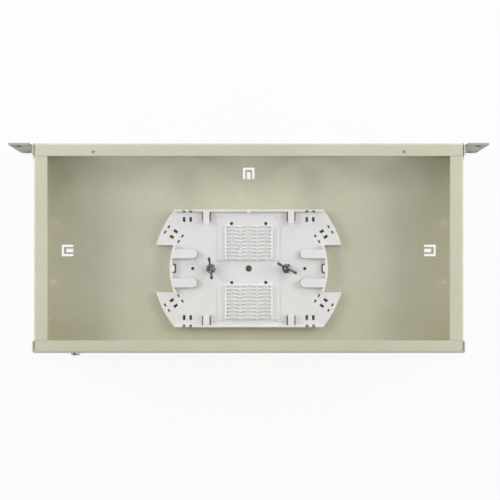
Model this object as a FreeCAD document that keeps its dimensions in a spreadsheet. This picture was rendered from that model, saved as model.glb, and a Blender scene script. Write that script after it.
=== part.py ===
"""A 19-inch, one-unit fibre distribution box with its cover off.

A folded steel pan with two end panels and two rack ears carries a moulded splice tray on two studs.
The front is at -Y, +Z is up, and the origin is the middle of the box's underside.
"""
import FreeCAD, Part

import math
import os
from collections import namedtuple
from types import SimpleNamespace

import Sketcher

# Driving dimensions, in millimetres, degrees or plain counts.
SIZES = {
    # steel box
    "body_width": 432.0,
    "body_depth": 211.0,
    "body_height": 43.6,
    "sheet": 1.5,
    "floor_bend": 2.0,
    "rim_bend": 1.0,
    "bend_land": 0.3,
    "side_flange": 13.55,
    "front_flange": 13.0,
    "rear_flange": 12.7,
    "seam_gap": 0.4,
    "lip_height": 6.0,
    "tab_length": 12.0,
    "tab_drop": 0.8,
    # tie-down cuts in the floor
    "anchor_inset": 17.5,
    "anchor_length": 12.4,
    "anchor_width": 12.2,
    "anchor_stroke": 2.4,
    "anchor_slot_length": 7.6,
    "anchor_slot_width": 3.8,
    # holes low in the side walls
    "spare_hole_diameter": 4.5,
    "spare_hole_spacing": 62.0,
    "spare_hole_height": 6.5,
    # front wall
    "window_width": 104.0,
    "window_height": 26.0,
    "window_gap": 26.0,
    "latch_margin": 7.0,
    "latch_diameter": 4.6,
    "cover_hole_diameter": 3.3,
    "cover_hole_spacing": 312.0,
    "cover_hole_inset": 8.9,
    # rear wall
    "cable_entry_diameter": 20.5,
    "cable_entry_spacing": 280.0,
    "cable_entry_height": 22.0,
    "ground_offset": 178.7,
    "ground_height": 22.0,
    # rack ears
    "ear_reach": 25.3,
    "ear_thickness": 2.0,
    "ear_bend": 0.5,
    "ear_leg_length": 14.0,
    "ear_leg_bottom": 7.0,
    "ear_leg_top": 31.0,
    "rack_slot_margin": 8.75,
    "rack_slot_rise": 31.75,
    "rack_slot_length": 9.0,
    "rack_slot_width": 6.5,
    # ear screws and nuts
    "ear_screw_inset": 8.6,
    "ear_screw_low": 14.0,
    "ear_screw_high": 23.5,
    "small_thread": 4.0,
    "screw_clearance": 0.25,
    "thread_clearance": 0.08,
    "small_head_diameter": 8.0,
    "small_head_height": 2.0,
    "ear_screw_length": 8.0,
    "small_nut_flats": 7.0,
    "small_nut_height": 3.2,
    # ground screw
    "ground_thread": 5.0,
    "ground_head_diameter": 9.5,
    "ground_head_height": 3.4,
    "ground_screw_length": 10.0,
    "ground_washer_diameter": 11.0,
    "ground_washer_thickness": 0.8,
    "ground_nut_flats": 8.0,
    "ground_nut_height": 4.0,
    # splice tray
    "tray_back": 19.4,
    "tray_lift": 4.0,
    "tray_floor": 1.8,
    "tray_edge_width": 156.6,
    "tray_depth": 123.4,
    "tray_width": 195.0,
    "wing_edge_radius": 108.0,
    "notch_depth": 49.6,
    "notch_width": 157.0,
    "side_edge_radius": 72.0,
    "notch_fillet": 1.6,
    "tray_wall": 2.0,
    "tray_wall_height": 3.8,
    "end_wall_length": 156.0,
    "stud_spacing": 80.0,
    "stud_hole_clearance": 0.3,
    "boss_width": 9.0,
    "foot_width": 6.0,
    "foot_spacing_x": 104.0,
    "foot_spacing_y": 72.0,
    "centre_hole_diameter": 6.9,
    "side_hole_diameter": 3.5,
    "side_hole_spacing": 118.0,
    # tongues over the tray's windows
    "tongue_thickness": 1.2,
    "window_clearance": 0.1,
    "wall_clearance": 0.4,
    "end_tongue_offset": 44.5,
    "end_tongue_width": 6.4,
    "end_tongue_length": 12.8,
    "end_tongue_tip": 3.0,
    "end_window_width": 9.4,
    "end_window_short": 1.6,
    "end_window_cut": 2.2,
    "side_tongue_offset": 15.2,
    "side_tongue_width": 9.4,
    "side_tongue_reach": 54.2,
    "side_tongue_tip": 4.6,
    "side_window_cut": 2.7,
    "hook_width": 7.6,
    "hook_reach": 77.9,
    "hook_window_reach": 76.4,
    "hook_window_width": 9.9,
    "hook_corner": 1.6,
    "nib_width": 7.0,
    "nib_depth": 1.8,
    # tie slots in the tray
    "tie_slot_x": 64.6,
    "tie_slot_gap": 6.9,
    "tie_slot_inset": 10.0,
    "tie_slot_width": 2.9,
    "tie_slot_length": 5.0,
    "edge_notch_width": 3.2,
    "edge_notch_depth": 2.6,
    "edge_notch_skin": 0.9,
    "wing_slot_angle": 34.7,
    "wing_slot_x": 79.0,
    "wing_slot_y": 36.3,
    "wing_slot_gap": 7.1,
    "wing_slot_length": 4.6,
    "wing_slot_width": 3.0,
    "wing_slot_side": 8.6,
    "wing_side_length": 3.2,
    "wing_side_width": 1.9,
    # splice holders
    "holder_width": 64.0,
    "holder_depth": 37.0,
    "holder_plate": 1.0,
    "holder_first": -27.0,
    "holder_step": 62.2,
    "holder_hole_spacing": 36.0,
    "holder_hole_gap": 2.0,
    "holder_hole_diameter": 3.5,
    "rib_count": 10,
    "rib_pitch": 3.8,
    "rib_height": 2.0,
    "rib_thickness": 1.0,
    "rib_inner": 2.4,
    "rib_outer": 15.6,
    "rib_shift": -0.5,
    "rib_kink_at": 9.0,
    "rib_kink_half": 2.3,
    "rib_kink": 1.5,
    "tooth_inner": 19.4,
    "rail_inner": 23.6,
    "rail_width": 1.2,
    # studs, washers and wing nuts
    "stud_proud": 1.4,
    "washer_diameter": 10.0,
    "washer_thickness": 0.8,
    "washer_clearance": 0.15,
    "nut_base_diameter": 8.2,
    "nut_top_diameter": 7.0,
    "nut_boss_height": 4.6,
    "nut_height": 10.5,
    "wing_span": 22.6,
    "wing_thickness": 2.0,
    "wing_root": 0.8,
    "wing_tip_low": 5.6,
    "wing_tip_lean": 1.0,
    "wing_tip_width": 4.2,
    "wing_tip_radius": 1.5,
    "wing_sink": 0.8,
}

# The wing nuts stand turned as they were left, in degrees about +Z.
NUT_TURN = {"left": 152.0, "right": 97.5}

HEX = math.sqrt(3.0)
X_AXIS = FreeCAD.Vector(1, 0, 0)
Y_AXIS = FreeCAD.Vector(0, 1, 0)
Z_AXIS = FreeCAD.Vector(0, 0, 1)
SIDES = {"left": -1, "right": 1}


class Size:
    """A length that knows its number and the formula that drives it."""

    def __init__(self, value, text):
        self.value = value
        self.text = text

    def __add__(self, other):
        other = as_size(other)
        return Size(self.value + other.value, f"({self.text} + {other.text})")

    def __sub__(self, other):
        other = as_size(other)
        return Size(self.value - other.value, f"({self.text} - {other.text})")

    def __mul__(self, other):
        other = as_size(other)
        return Size(self.value * other.value, f"({self.text} * {other.text})")

    def __truediv__(self, other):
        other = as_size(other)
        return Size(self.value / other.value, f"({self.text} / {other.text})")

    def __neg__(self):
        return Size(-self.value, f"(-1 * {self.text})")

    def cos(self):
        return Size(math.cos(math.radians(self.value)), f"cos({self.text} * 1 deg)")

    def sin(self):
        return Size(math.sin(math.radians(self.value)), f"sin({self.text} * 1 deg)")

    def root(self):
        return Size(math.sqrt(self.value), f"sqrt({self.text})")


def as_size(number):
    return number if isinstance(number, Size) else Size(float(number), repr(float(number)))


# A corner of an outline: its place, a fillet, and the radius of an arc that runs to the next corner.
# An arc bulges to the right of the direction of travel, or to the left where it is hollow.
Corner = namedtuple("Corner", "x y fillet arc hollow", defaults=(None, None, False))

doc = FreeCAD.newDocument("fibre_box")
sheet_table = doc.addObject("Spreadsheet::Sheet", "sizes")
for row, (name, value) in enumerate(SIZES.items(), start=1):
    sheet_table.set(f"A{row}", name)
    sheet_table.set(f"B{row}", str(value))
    sheet_table.setAlias(f"B{row}", name)
doc.recompute()
S = SimpleNamespace(**{name: Size(value, f"sizes.{name}") for name, value in SIZES.items()})

# Places that several pieces share.
half_width = S.body_width / 2
half_depth = S.body_depth / 2
inner_wall = half_width - S.sheet
tab_face = half_width + S.sheet
panel_half = half_width - S.rim_bend - S.bend_land
ear_screw_y = S.ear_screw_inset - half_depth
tray_base = S.sheet + S.tray_lift
tray_top = tray_base + S.tray_floor
nut_seat = tray_top + S.washer_thickness
small_radius = S.small_thread / 2
small_hole = small_radius + S.screw_clearance
ground_radius = S.ground_thread / 2
ground_hole = ground_radius + S.screw_clearance
parts = []


class Outline:
    """Collects the closed outlines of one sketch and writes them with their driving formulas."""

    def __init__(self, sketch):
        self.sketch = sketch
        self.shapes = []
        self.rules = []
        self.formulas = []

    def shape(self, geometry):
        self.shapes.append(geometry)
        return len(self.shapes) - 1

    def rule(self, *terms, size=None):
        if size is None:
            self.rules.append(Sketcher.Constraint(*terms))
            return
        self.formulas.append((len(self.rules), size))
        self.rules.append(Sketcher.Constraint(*terms, size.value))

    def pin(self, shape, end, x, y):
        self.rule("DistanceX", shape, end, size=x)
        self.rule("DistanceY", shape, end, size=y)

    def circle(self, x, y, radius):
        x, y, radius = as_size(x), as_size(y), as_size(radius)
        centre = FreeCAD.Vector(x.value, y.value, 0)
        shape = self.shape(Part.Circle(centre, Z_AXIS, radius.value))
        self.pin(shape, 3, x, y)
        self.rule("Radius", shape, size=radius)

    def box(self, x_low, x_high, y_low, y_high, fillet=None):
        self.closed([
            Corner(x_low, y_low, fillet),
            Corner(x_high, y_low, fillet),
            Corner(x_high, y_high, fillet),
            Corner(x_low, y_high, fillet),
        ])

    def slot(self, x, y, length, width):
        """A slot with round ends, along the sketch's first axis."""
        x, y = as_size(x), as_size(y)
        end = width / 2
        run = (length - width) / 2
        pieces = []
        for hand in (1, -1):
            middle = x + run * hand
            centre = FreeCAD.Vector(middle.value, y.value, 0)
            across = FreeCAD.Vector(0, end.value * hand, 0)
            along = FreeCAD.Vector(2 * run.value * hand, 0, 0)
            arc = self.arc_piece(centre, end, (centre - across, centre + across), True)
            self.pin(arc.shape, 3, middle, y)
            line = self.shape(Part.LineSegment(centre + across, centre + across - along))
            pieces += [arc, SimpleNamespace(shape=line, tail=1, head=2)]
        for index, piece in enumerate(pieces):
            before = pieces[index - 1]
            self.rule("Tangent", before.shape, before.head, piece.shape, piece.tail)

    def closed(self, corners):
        corners = [c._replace(x=as_size(c.x), y=as_size(c.y)) for c in corners]
        points = [FreeCAD.Vector(c.x.value, c.y.value, 0) for c in corners]
        count = len(corners)
        pieces = []
        for index, corner in enumerate(corners):
            start, finish = points[index], points[(index + 1) % count]
            if corner.fillet is not None:
                pieces.append(self.rounded(corner, points[index - 1], start, finish))
            if corner.arc is not None:
                pieces.append(self.arc_edge(start, finish, corner))
            else:
                along = (finish - start).normalize()
                first = start + along * self.setback(corners, points, index)
                last = finish - along * self.setback(corners, points, (index + 1) % count)
                line = self.shape(Part.LineSegment(first, last))
                pieces.append(SimpleNamespace(shape=line, tail=1, head=2, rounds=None))
        self.join(pieces, corners)

    @staticmethod
    def setback(corners, points, index):
        corner = corners[index]
        if corner.fillet is None:
            return 0.0
        back = (points[index - 1] - points[index]).normalize()
        ahead = (points[(index + 1) % len(points)] - points[index]).normalize()
        return as_size(corner.fillet).value / math.tan(back.getAngle(ahead) / 2)

    def rounded(self, corner, before, point, after):
        radius = as_size(corner.fillet)
        back = (before - point).normalize()
        ahead = (after - point).normalize()
        half = back.getAngle(ahead) / 2
        centre = point + (back + ahead).normalize() * (radius.value / math.sin(half))
        reach = radius.value / math.tan(half)
        left_turn = back.cross(ahead).z < 0
        ends = (point + back * reach, point + ahead * reach)
        piece = self.arc_piece(centre, radius, ends, left_turn)
        piece.rounds = self.shape(Part.Point(point))
        self.pin(piece.rounds, 1, corner.x, corner.y)
        return piece

    def arc_edge(self, start, finish, corner):
        radius = as_size(corner.arc)
        chord = finish - start
        right = FreeCAD.Vector(chord.y, -chord.x, 0).normalize()
        drop = math.sqrt(radius.value ** 2 - chord.Length ** 2 / 4)
        centre = start + chord * 0.5 + right * (drop if corner.hollow else -drop)
        return self.arc_piece(centre, radius, (start, finish), not corner.hollow)

    def arc_piece(self, centre, radius, ends, left_turn):
        first, last = ends if left_turn else (ends[1], ends[0])
        begin = math.atan2(first.y - centre.y, first.x - centre.x)
        end = math.atan2(last.y - centre.y, last.x - centre.x)
        if end <= begin:
            end += 2 * math.pi
        circle = Part.Circle(centre, Z_AXIS, radius.value)
        shape = self.shape(Part.ArcOfCircle(circle, begin, end))
        self.rule("Radius", shape, size=radius)
        tail, head = (1, 2) if left_turn else (2, 1)
        return SimpleNamespace(shape=shape, tail=tail, head=head, rounds=None)

    def join(self, pieces, corners):
        sharp = iter([c for c in corners if c.fillet is None])
        for index, piece in enumerate(pieces):
            before = pieces[index - 1]
            smooth = piece.rounds is not None or before.rounds is not None
            kind = "Tangent" if smooth else "Coincident"
            self.rule(kind, before.shape, before.head, piece.shape, piece.tail)
            if not smooth:
                corner = next(sharp)
                self.pin(piece.shape, piece.tail, corner.x, corner.y)
            if piece.rounds is not None:
                after = pieces[(index + 1) % len(pieces)]
                self.rule("PointOnObject", piece.rounds, 1, before.shape)
                self.rule("PointOnObject", piece.rounds, 1, after.shape)

    def write(self):
        self.sketch.addGeometry(self.shapes, False)
        for index, shape in enumerate(self.shapes):
            if isinstance(shape, Part.Point):
                self.sketch.toggleConstruction(index)
        self.sketch.addConstraint(self.rules)
        for index, size in self.formulas:
            self.sketch.setExpression(f"Constraints[{index}]", size.text)


def new_body(label):
    body = doc.addObject("PartDesign::Body", label)
    body.Label = label
    parts.append(body)
    return body


def origin_feature(body, role):
    return next(item for item in body.Origin.OriginFeatures if item.Role == role)


def sketch_on(body, role, name, rise=None):
    """A sketch on one of the body's own planes, moved along the plane's normal."""
    sketch = body.newObject("Sketcher::SketchObject", f"{body.Label}_{name}")
    sketch.AttachmentSupport = [(origin_feature(body, role), "")]
    sketch.MapMode = "FlatFace"
    if rise is not None:
        sketch.setExpression("AttachmentOffset.Base.z", as_size(rise).text)
    return Outline(sketch)


def finish_feature(body, kind, outline, name):
    outline.write()
    feature = body.newObject(kind, f"{body.Label}_{name}")
    feature.Profile = outline.sketch
    outline.sketch.Visibility = False
    return feature


def pad(body, outline, name, length, side="One side", reverse=False):
    feature = finish_feature(body, "PartDesign::Pad", outline, name)
    feature.SideType = side
    feature.Reversed = reverse
    feature.setExpression("Length", as_size(length).text)
    doc.recompute()
    return feature


def cut(body, outline, name, length=None, side="Symmetric", reverse=False):
    """Cut right through both ways, or by a length; the cut has to take something away."""
    before = body.Shape.Volume
    feature = finish_feature(body, "PartDesign::Pocket", outline, name)
    feature.SideType = side
    feature.Reversed = reverse
    if length is None:
        feature.Type = "ThroughAll"
    else:
        feature.setExpression("Length", as_size(length).text)
    doc.recompute()
    if body.Shape.Volume >= before:
        raise RuntimeError(f"{name} in {body.Label} cuts nothing")
    return feature


def place(item, x, y, z, rotation=None):
    item.Placement = FreeCAD.Placement(FreeCAD.Vector(), rotation or FreeCAD.Rotation())
    for axis, size in (("x", x), ("y", y), ("z", z)):
        item.setExpression(f"Placement.Base.{axis}", as_size(size).text)


def turned(label, corners):
    """A body of revolution about its own Z axis, from (radius, height) corners."""
    body = new_body(label)
    outline = sketch_on(body, "XZ_Plane", "profile")
    outline.closed(corners)
    feature = finish_feature(body, "PartDesign::Revolution", outline, "turn")
    feature.ReferenceAxis = (origin_feature(body, "Z_Axis"), [""])
    feature.Angle = 360.0
    doc.recompute()
    return body


def quadrants():
    return [(x, y) for x in (-1, 1) for y in (-1, 1)]


def tie_anchor(outline, x, y, along):
    """Three-sided cut round a tongue, and a slot in the tongue, for a cable tie.

    (x, y) is the middle of the tongue's free end, and along points from there to its root.
    """
    def spot(run, side):
        return Corner(x + run * along[0] - side * along[1], y + run * along[1] + side * along[0])

    reach, half, stroke = S.anchor_length, S.anchor_width / 2, S.anchor_stroke
    inner = half - stroke
    nought = as_size(0)
    outline.closed([
        spot(nought, -half), spot(reach, -half), spot(reach, -inner), spot(stroke, -inner),
        spot(stroke, inner), spot(reach, inner), spot(reach, half), spot(nought, half),
    ])
    slot_start, slot_half = reach - S.anchor_slot_length, S.anchor_slot_width / 2
    outline.closed([
        spot(slot_start, -slot_half), spot(reach, -slot_half),
        spot(reach, slot_half), spot(slot_start, slot_half),
    ])


def base_pan():
    """Floor, side walls and side rim flanges, folded from one sheet."""
    body = new_body("base_pan")
    outer_bend = S.floor_bend + S.sheet
    wall_top = S.body_height - S.rim_bend - S.sheet - S.bend_land
    run_out = S.sheet + outer_bend + S.bend_land

    floor = sketch_on(body, "XZ_Plane", "floor_and_sides")
    floor.closed([
        Corner(-half_width, wall_top), Corner(-half_width, 0, outer_bend),
        Corner(half_width, 0, outer_bend), Corner(half_width, wall_top),
        Corner(inner_wall, wall_top), Corner(inner_wall, S.sheet, S.floor_bend),
        Corner(-inner_wall, S.sheet, S.floor_bend), Corner(-inner_wall, wall_top),
    ])
    pad(body, floor, "sides", (half_depth - run_out) * 2, "Symmetric")

    flange_end = half_width - S.side_flange
    flange_under = S.body_height - S.sheet
    flange_middle = (S.front_flange - S.rear_flange) / 2
    flanges = sketch_on(body, "XZ_Plane", "flanges", -flange_middle)
    for side in SIDES.values():
        flanges.closed([
            Corner(half_width * side, wall_top),
            Corner(half_width * side, S.body_height, S.rim_bend + S.sheet),
            Corner(flange_end * side, S.body_height),
            Corner(flange_end * side, flange_under),
            Corner(inner_wall * side, flange_under, S.rim_bend),
            Corner(inner_wall * side, wall_top),
        ])
    flange_run = S.body_depth - S.front_flange - S.rear_flange - S.seam_gap * 2
    pad(body, flanges, "rim", flange_run, "Symmetric")

    lips = sketch_on(body, "YZ_Plane", "lips")
    lip_face = half_depth - S.sheet
    for side in (-1, 1):
        lips.closed([
            Corner((half_depth - run_out) * side, 0),
            Corner(lip_face * side, 0, outer_bend),
            Corner(lip_face * side, S.lip_height),
            Corner((lip_face - S.sheet) * side, S.lip_height),
            Corner((lip_face - S.sheet) * side, S.sheet, S.floor_bend),
            Corner((half_depth - run_out) * side, S.sheet),
        ])
    pad(body, lips, "lip", (half_width - outer_bend - S.bend_land) * 2, "Symmetric")

    ties = sketch_on(body, "XY_Plane", "ties")
    for side in SIDES.values():
        tie_anchor(ties, (half_width - S.anchor_inset) * side, as_size(0), (-side, 0))
    tie_anchor(ties, as_size(0), S.anchor_inset - half_depth, (0, 1))
    cut(body, ties, "tie_cuts", S.sheet, "One side", True)

    holes = sketch_on(body, "YZ_Plane", "holes")
    for side in (-1, 1):
        holes.circle(S.spare_hole_spacing / 2 * side, S.spare_hole_height, S.spare_hole_diameter / 2)
    for height in (S.ear_screw_low, S.ear_screw_high):
        holes.circle(ear_screw_y, height, small_hole)
    cut(body, holes, "side_holes")


def end_panel(label, side, flange):
    """An end wall with its rim flange and the two tabs that wrap the side walls."""
    body = new_body(label)
    face = half_depth * side
    inside = (half_depth - S.sheet) * side
    rim_outer = S.rim_bend + S.sheet

    wall = sketch_on(body, "YZ_Plane", "wall")
    wall.closed([
        Corner(face, 0),
        Corner(face, S.body_height, rim_outer),
        Corner((half_depth - flange) * side, S.body_height),
        Corner((half_depth - flange) * side, S.body_height - S.sheet),
        Corner(inside, S.body_height - S.sheet, S.rim_bend),
        Corner(inside, 0),
    ])
    pad(body, wall, "sheet", panel_half * 2, "Symmetric")

    tabs = sketch_on(body, "XY_Plane", "tabs")
    for hand in SIDES.values():
        tabs.closed([
            Corner(panel_half * hand, face),
            Corner(tab_face * hand, face, rim_outer),
            Corner(tab_face * hand, (half_depth - S.tab_length) * side),
            Corner(half_width * hand, (half_depth - S.tab_length) * side),
            Corner(half_width * hand, inside, S.rim_bend),
            Corner(panel_half * hand, inside),
        ])
    pad(body, tabs, "tab", S.body_height - S.tab_drop)
    return body


def front_panel():
    body = end_panel("front_panel", -1, S.front_flange)
    windows = sketch_on(body, "XZ_Plane", "windows")
    middle = S.body_height / 2
    half_window, half_rise = S.window_width / 2, S.window_height / 2
    for step in (-1, 0, 1):
        x = (S.window_width + S.window_gap) * step
        windows.box(x - half_window, x + half_window, middle - half_rise, middle + half_rise)
        for hand in SIDES.values():
            windows.circle(x + (half_window + S.latch_margin) * hand, middle, S.latch_diameter / 2)
    cut(body, windows, "window_cuts")

    cover = sketch_on(body, "XY_Plane", "cover", S.body_height)
    for hand in SIDES.values():
        cover.circle(S.cover_hole_spacing / 2 * hand, S.cover_hole_inset - half_depth, S.cover_hole_diameter / 2)
    cut(body, cover, "cover_holes", S.sheet, "One side")

    ears = sketch_on(body, "YZ_Plane", "ears")
    for height in (S.ear_screw_low, S.ear_screw_high):
        ears.circle(ear_screw_y, height, small_hole)
    cut(body, ears, "ear_holes")


def rear_panel():
    body = end_panel("rear_panel", 1, S.rear_flange)
    holes = sketch_on(body, "XZ_Plane", "holes")
    for hand in SIDES.values():
        holes.circle(S.cable_entry_spacing / 2 * hand, S.cable_entry_height, S.cable_entry_diameter / 2)
    holes.circle(S.ground_offset, S.ground_height, ground_hole)
    cut(body, holes, "wall_holes")


def rack_ear(hand_name):
    """An angle with two rack slots in its face and a short leg screwed to the box's corner tab."""
    hand = SIDES[hand_name]
    body = new_body(f"rack_ear_{hand_name}")
    leg_out = tab_face + S.ear_thickness
    face_start = leg_out + S.ear_bend + S.bend_land
    face_end = half_width + S.ear_reach
    front = -half_depth

    plate = sketch_on(body, "XZ_Plane", "face", half_depth)
    plate.closed([
        Corner(face_start * hand, 0), Corner(face_end * hand, 0),
        Corner(face_end * hand, S.body_height), Corner(face_start * hand, S.body_height),
    ])
    pad(body, plate, "plate", S.ear_thickness, "One side", True)

    leg = sketch_on(body, "XY_Plane", "leg", S.ear_leg_bottom)
    leg.closed([
        Corner(face_start * hand, front),
        Corner(tab_face * hand, front, S.ear_bend + S.ear_thickness),
        Corner(tab_face * hand, front + S.ear_leg_length),
        Corner(leg_out * hand, front + S.ear_leg_length),
        Corner(leg_out * hand, front + S.ear_thickness, S.ear_bend),
        Corner(face_start * hand, front + S.ear_thickness),
    ])
    pad(body, leg, "bend", S.ear_leg_top - S.ear_leg_bottom)

    slots = sketch_on(body, "XZ_Plane", "slots")
    for rise in (-0.5, 0.5):
        z = S.body_height / 2 + S.rack_slot_rise * rise
        slots.slot((face_end - S.rack_slot_margin) * hand, z, S.rack_slot_length, S.rack_slot_width)
    cut(body, slots, "rack_slots")

    holes = sketch_on(body, "YZ_Plane", "holes")
    for height in (S.ear_screw_low, S.ear_screw_high):
        holes.circle(ear_screw_y, height, small_hole)
    cut(body, holes, "leg_holes")


def pan_screw(label, thread, length, head_diameter, head_height):
    """A pan-head screw whose head sits on z = 0 and whose shank points down."""
    shank, head = thread / 2, head_diameter / 2
    return turned(label, [
        Corner(0, -length), Corner(shank, -length), Corner(shank, 0),
        Corner(head, 0), Corner(head, head_height), Corner(0, head_height),
    ])


def hex_nut(label, flats, bore, height):
    """A hexagon nut that stands on z = 0."""
    body = new_body(label)
    outline = sketch_on(body, "XY_Plane", "hexagon")
    half, corner = flats / 2, flats / HEX
    outline.closed([
        Corner(corner, 0), Corner(corner / 2, half), Corner(-corner / 2, half),
        Corner(-corner, 0), Corner(-corner / 2, -half), Corner(corner / 2, -half),
    ])
    outline.circle(0, 0, bore)
    pad(body, outline, "nut", height)
    return body


def ring(label, outer, inner, thickness):
    """A flat washer that lies on z = 0."""
    return turned(label, [
        Corner(inner, 0), Corner(outer, 0), Corner(outer, thickness), Corner(inner, thickness),
    ])


def ear_fixings():
    leg_face = tab_face + S.ear_thickness
    for hand_name, hand in SIDES.items():
        outward = FreeCAD.Rotation(Y_AXIS, 90 * hand)
        inward = FreeCAD.Rotation(Y_AXIS, -90 * hand)
        for level, height in (("lower", S.ear_screw_low), ("upper", S.ear_screw_high)):
            screw = pan_screw(
                f"ear_screw_{hand_name}_{level}", S.small_thread, S.ear_screw_length,
                S.small_head_diameter, S.small_head_height)
            place(screw, leg_face * hand, ear_screw_y, height, outward)
            nut = hex_nut(
                f"ear_nut_{hand_name}_{level}", S.small_nut_flats,
                small_radius + S.thread_clearance, S.small_nut_height)
            place(nut, inner_wall * hand, ear_screw_y, height, inward)


def ground_fixings():
    outward = FreeCAD.Rotation(X_AXIS, -90)
    inward = FreeCAD.Rotation(X_AXIS, 90)
    washer = ring("ground_washer", S.ground_washer_diameter / 2, ground_hole, S.ground_washer_thickness)
    place(washer, S.ground_offset, half_depth, S.ground_height, outward)
    screw = pan_screw(
        "ground_screw", S.ground_thread, S.ground_screw_length,
        S.ground_head_diameter, S.ground_head_height)
    place(screw, S.ground_offset, half_depth + S.ground_washer_thickness, S.ground_height, outward)
    nut = hex_nut(
        "ground_nut", S.ground_nut_flats, ground_radius + S.thread_clearance, S.ground_nut_height)
    place(nut, S.ground_offset, half_depth - S.sheet, S.ground_height, inward)


def side_edge(y, shift):
    """Distance from the tray's middle to its bowed side edge at y, moved inwards by shift."""
    radius, half = S.side_edge_radius, S.notch_depth / 2
    centre = S.notch_width / 2 - (radius * radius - half * half).root()
    return centre + (radius * radius - y * y).root() - shift


def free_end(tongue):
    """The (run, side) spots round a tongue's rounded end, or round the cut-off end of a window."""
    low, high = tongue.middle - tongue.half, tongue.middle + tongue.half
    if tongue.tip is not None:
        return [(tongue.reach, low, tongue.tip), (tongue.reach, high, tongue.tip)]
    slope = tongue.reach + tongue.cut
    return [
        (slope, low, None), (tongue.reach, low + tongue.cut, None),
        (tongue.reach, high - tongue.cut, None), (slope, high, None),
    ]


def side_tongue(outline, hand, end, tongue):
    """A tongue from the tray's side wall, or the window below it."""
    low, high = tongue.middle - tongue.half, tongue.middle + tongue.half
    near, far = side_edge(low, tongue.start) * hand, side_edge(high, tongue.start) * hand
    inner = [Corner(run * hand, side * end, tip) for run, side, tip in free_end(tongue)]
    outline.closed([Corner(near, low * end), *inner, Corner(far, high * end)])


def end_tongue(outline, hand, end, tongue):
    """A tongue from the tray's end wall, or the window below it."""
    low, high = tongue.middle - tongue.half, tongue.middle + tongue.half
    root = S.tray_depth / 2 - tongue.start
    inner = [Corner(side * hand, run * end, tip) for run, side, tip in free_end(tongue)]
    outline.closed([Corner(low * hand, root * end), *inner, Corner(high * hand, root * end)])


def hook(outline, hand, half, start, reach):
    """The short hook in the middle of the tray's side wall, or the window below it."""
    root = side_edge(half, start) * hand
    outline.closed([
        Corner(root, -half), Corner(reach * hand, -half, S.hook_corner),
        Corner(reach * hand, half, S.hook_corner), Corner(root, half),
    ])


def tray_tongues(body):
    """Windows in the tray's floor, then the tongues that hang over them from the walls."""
    mid_wall = S.tray_wall / 2
    clear = S.window_clearance
    beside_wall = S.tray_wall + S.wall_clearance
    end_reach = S.tray_depth / 2 - S.tray_wall - S.end_tongue_length
    side = SimpleNamespace(
        middle=S.side_tongue_offset, half=S.side_tongue_width / 2, start=mid_wall,
        reach=S.side_tongue_reach, tip=S.side_tongue_tip)
    side_window = SimpleNamespace(
        middle=S.side_tongue_offset, half=S.side_tongue_width / 2 + clear, start=beside_wall,
        reach=S.side_tongue_reach - clear, tip=None, cut=S.side_window_cut)
    short = SimpleNamespace(
        middle=S.end_tongue_offset, half=S.end_tongue_width / 2, start=mid_wall,
        reach=end_reach, tip=S.end_tongue_tip)
    short_window = SimpleNamespace(
        middle=S.end_tongue_offset, half=S.end_window_width / 2, start=S.tray_wall,
        reach=end_reach + S.end_window_short, tip=None, cut=S.end_window_cut)

    windows = sketch_on(body, "XY_Plane", "windows")
    tongues = sketch_on(body, "XY_Plane", "tongues", S.tray_floor + S.tray_wall_height)
    for hand, end in quadrants():
        end_tongue(windows, hand, end, short_window)
        end_tongue(tongues, hand, end, short)
        side_tongue(windows, hand, end, side_window)
        side_tongue(tongues, hand, end, side)
    for hand in SIDES.values():
        hook(windows, hand, S.hook_window_width / 2, beside_wall, S.hook_window_reach)
        hook(tongues, hand, S.hook_width / 2, mid_wall, S.hook_reach)
    nib_root, nib_half = S.tray_depth / 2 - mid_wall, S.nib_width / 2
    for end in (-1, 1):
        nib_tip = (S.tray_depth / 2 - S.tray_wall - S.nib_depth) * end
        tongues.closed([
            Corner(-nib_half, nib_root * end), Corner(nib_half, nib_root * end), Corner(0, nib_tip),
        ])
    cut(body, windows, "window_cuts", S.tray_floor, "One side", True)
    pad(body, tongues, "tongue", S.tongue_thickness, "One side", True)


def tray_tie_slots(body, hand, end):
    """The tie slots of one quarter of the tray: a pair by the end wall and a slanted group in the wing."""
    outline = sketch_on(body, "XY_Plane", "slots")
    edge = S.tray_depth / 2
    row = edge - S.tie_slot_inset
    for step in (-0.5, 0.5):
        x = S.tie_slot_x + S.tie_slot_gap * step
        wide, tall = S.tie_slot_width / 2, S.tie_slot_length / 2
        outline.box((x - wide) * hand, (x + wide) * hand, (row - tall) * end, (row + tall) * end)
        notch, depth = S.edge_notch_width / 2, S.edge_notch_depth
        outer = edge + depth if end > 0 else edge - S.edge_notch_skin
        outline.box((x - notch) * hand, (x + notch) * hand, (edge - depth) * end, outer * end)

    cos, sin = S.wing_slot_angle.cos(), S.wing_slot_angle.sin()

    def slanted(along, across, length, width):
        spots = []
        for u, v in ((-0.5, -0.5), (0.5, -0.5), (0.5, 0.5), (-0.5, 0.5)):
            run = along + length * u
            rise = across + width * v
            x = S.wing_slot_x + run * cos - rise * sin
            y = S.wing_slot_y + run * sin + rise * cos
            spots.append(Corner(x * hand, y * end))
        outline.closed(spots)

    for step in (-0.5, 0.5):
        across = S.wing_slot_gap * step
        slanted(as_size(0), across, S.wing_slot_length, S.wing_slot_width)
        slanted(-S.wing_slot_side, across, S.wing_side_width, S.wing_side_length)
        slanted(S.wing_slot_side, across, S.wing_side_width, S.wing_side_length)
    cut(body, outline, "slot_cuts")


def stands_at(edge, x, y):
    """Whether an edge is upright over one of the four mirrored spots (x, y)."""
    box = edge.BoundBox
    if max(box.XLength, box.YLength) > 0.001:
        return False
    return max(abs(abs(box.Center.x) - x.value), abs(abs(box.Center.y) - y.value)) < 0.001


def holder_rows():
    """Where the two splice holders stand along the tray."""
    return {"front": S.holder_first, "rear": S.holder_first + S.holder_step}


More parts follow.
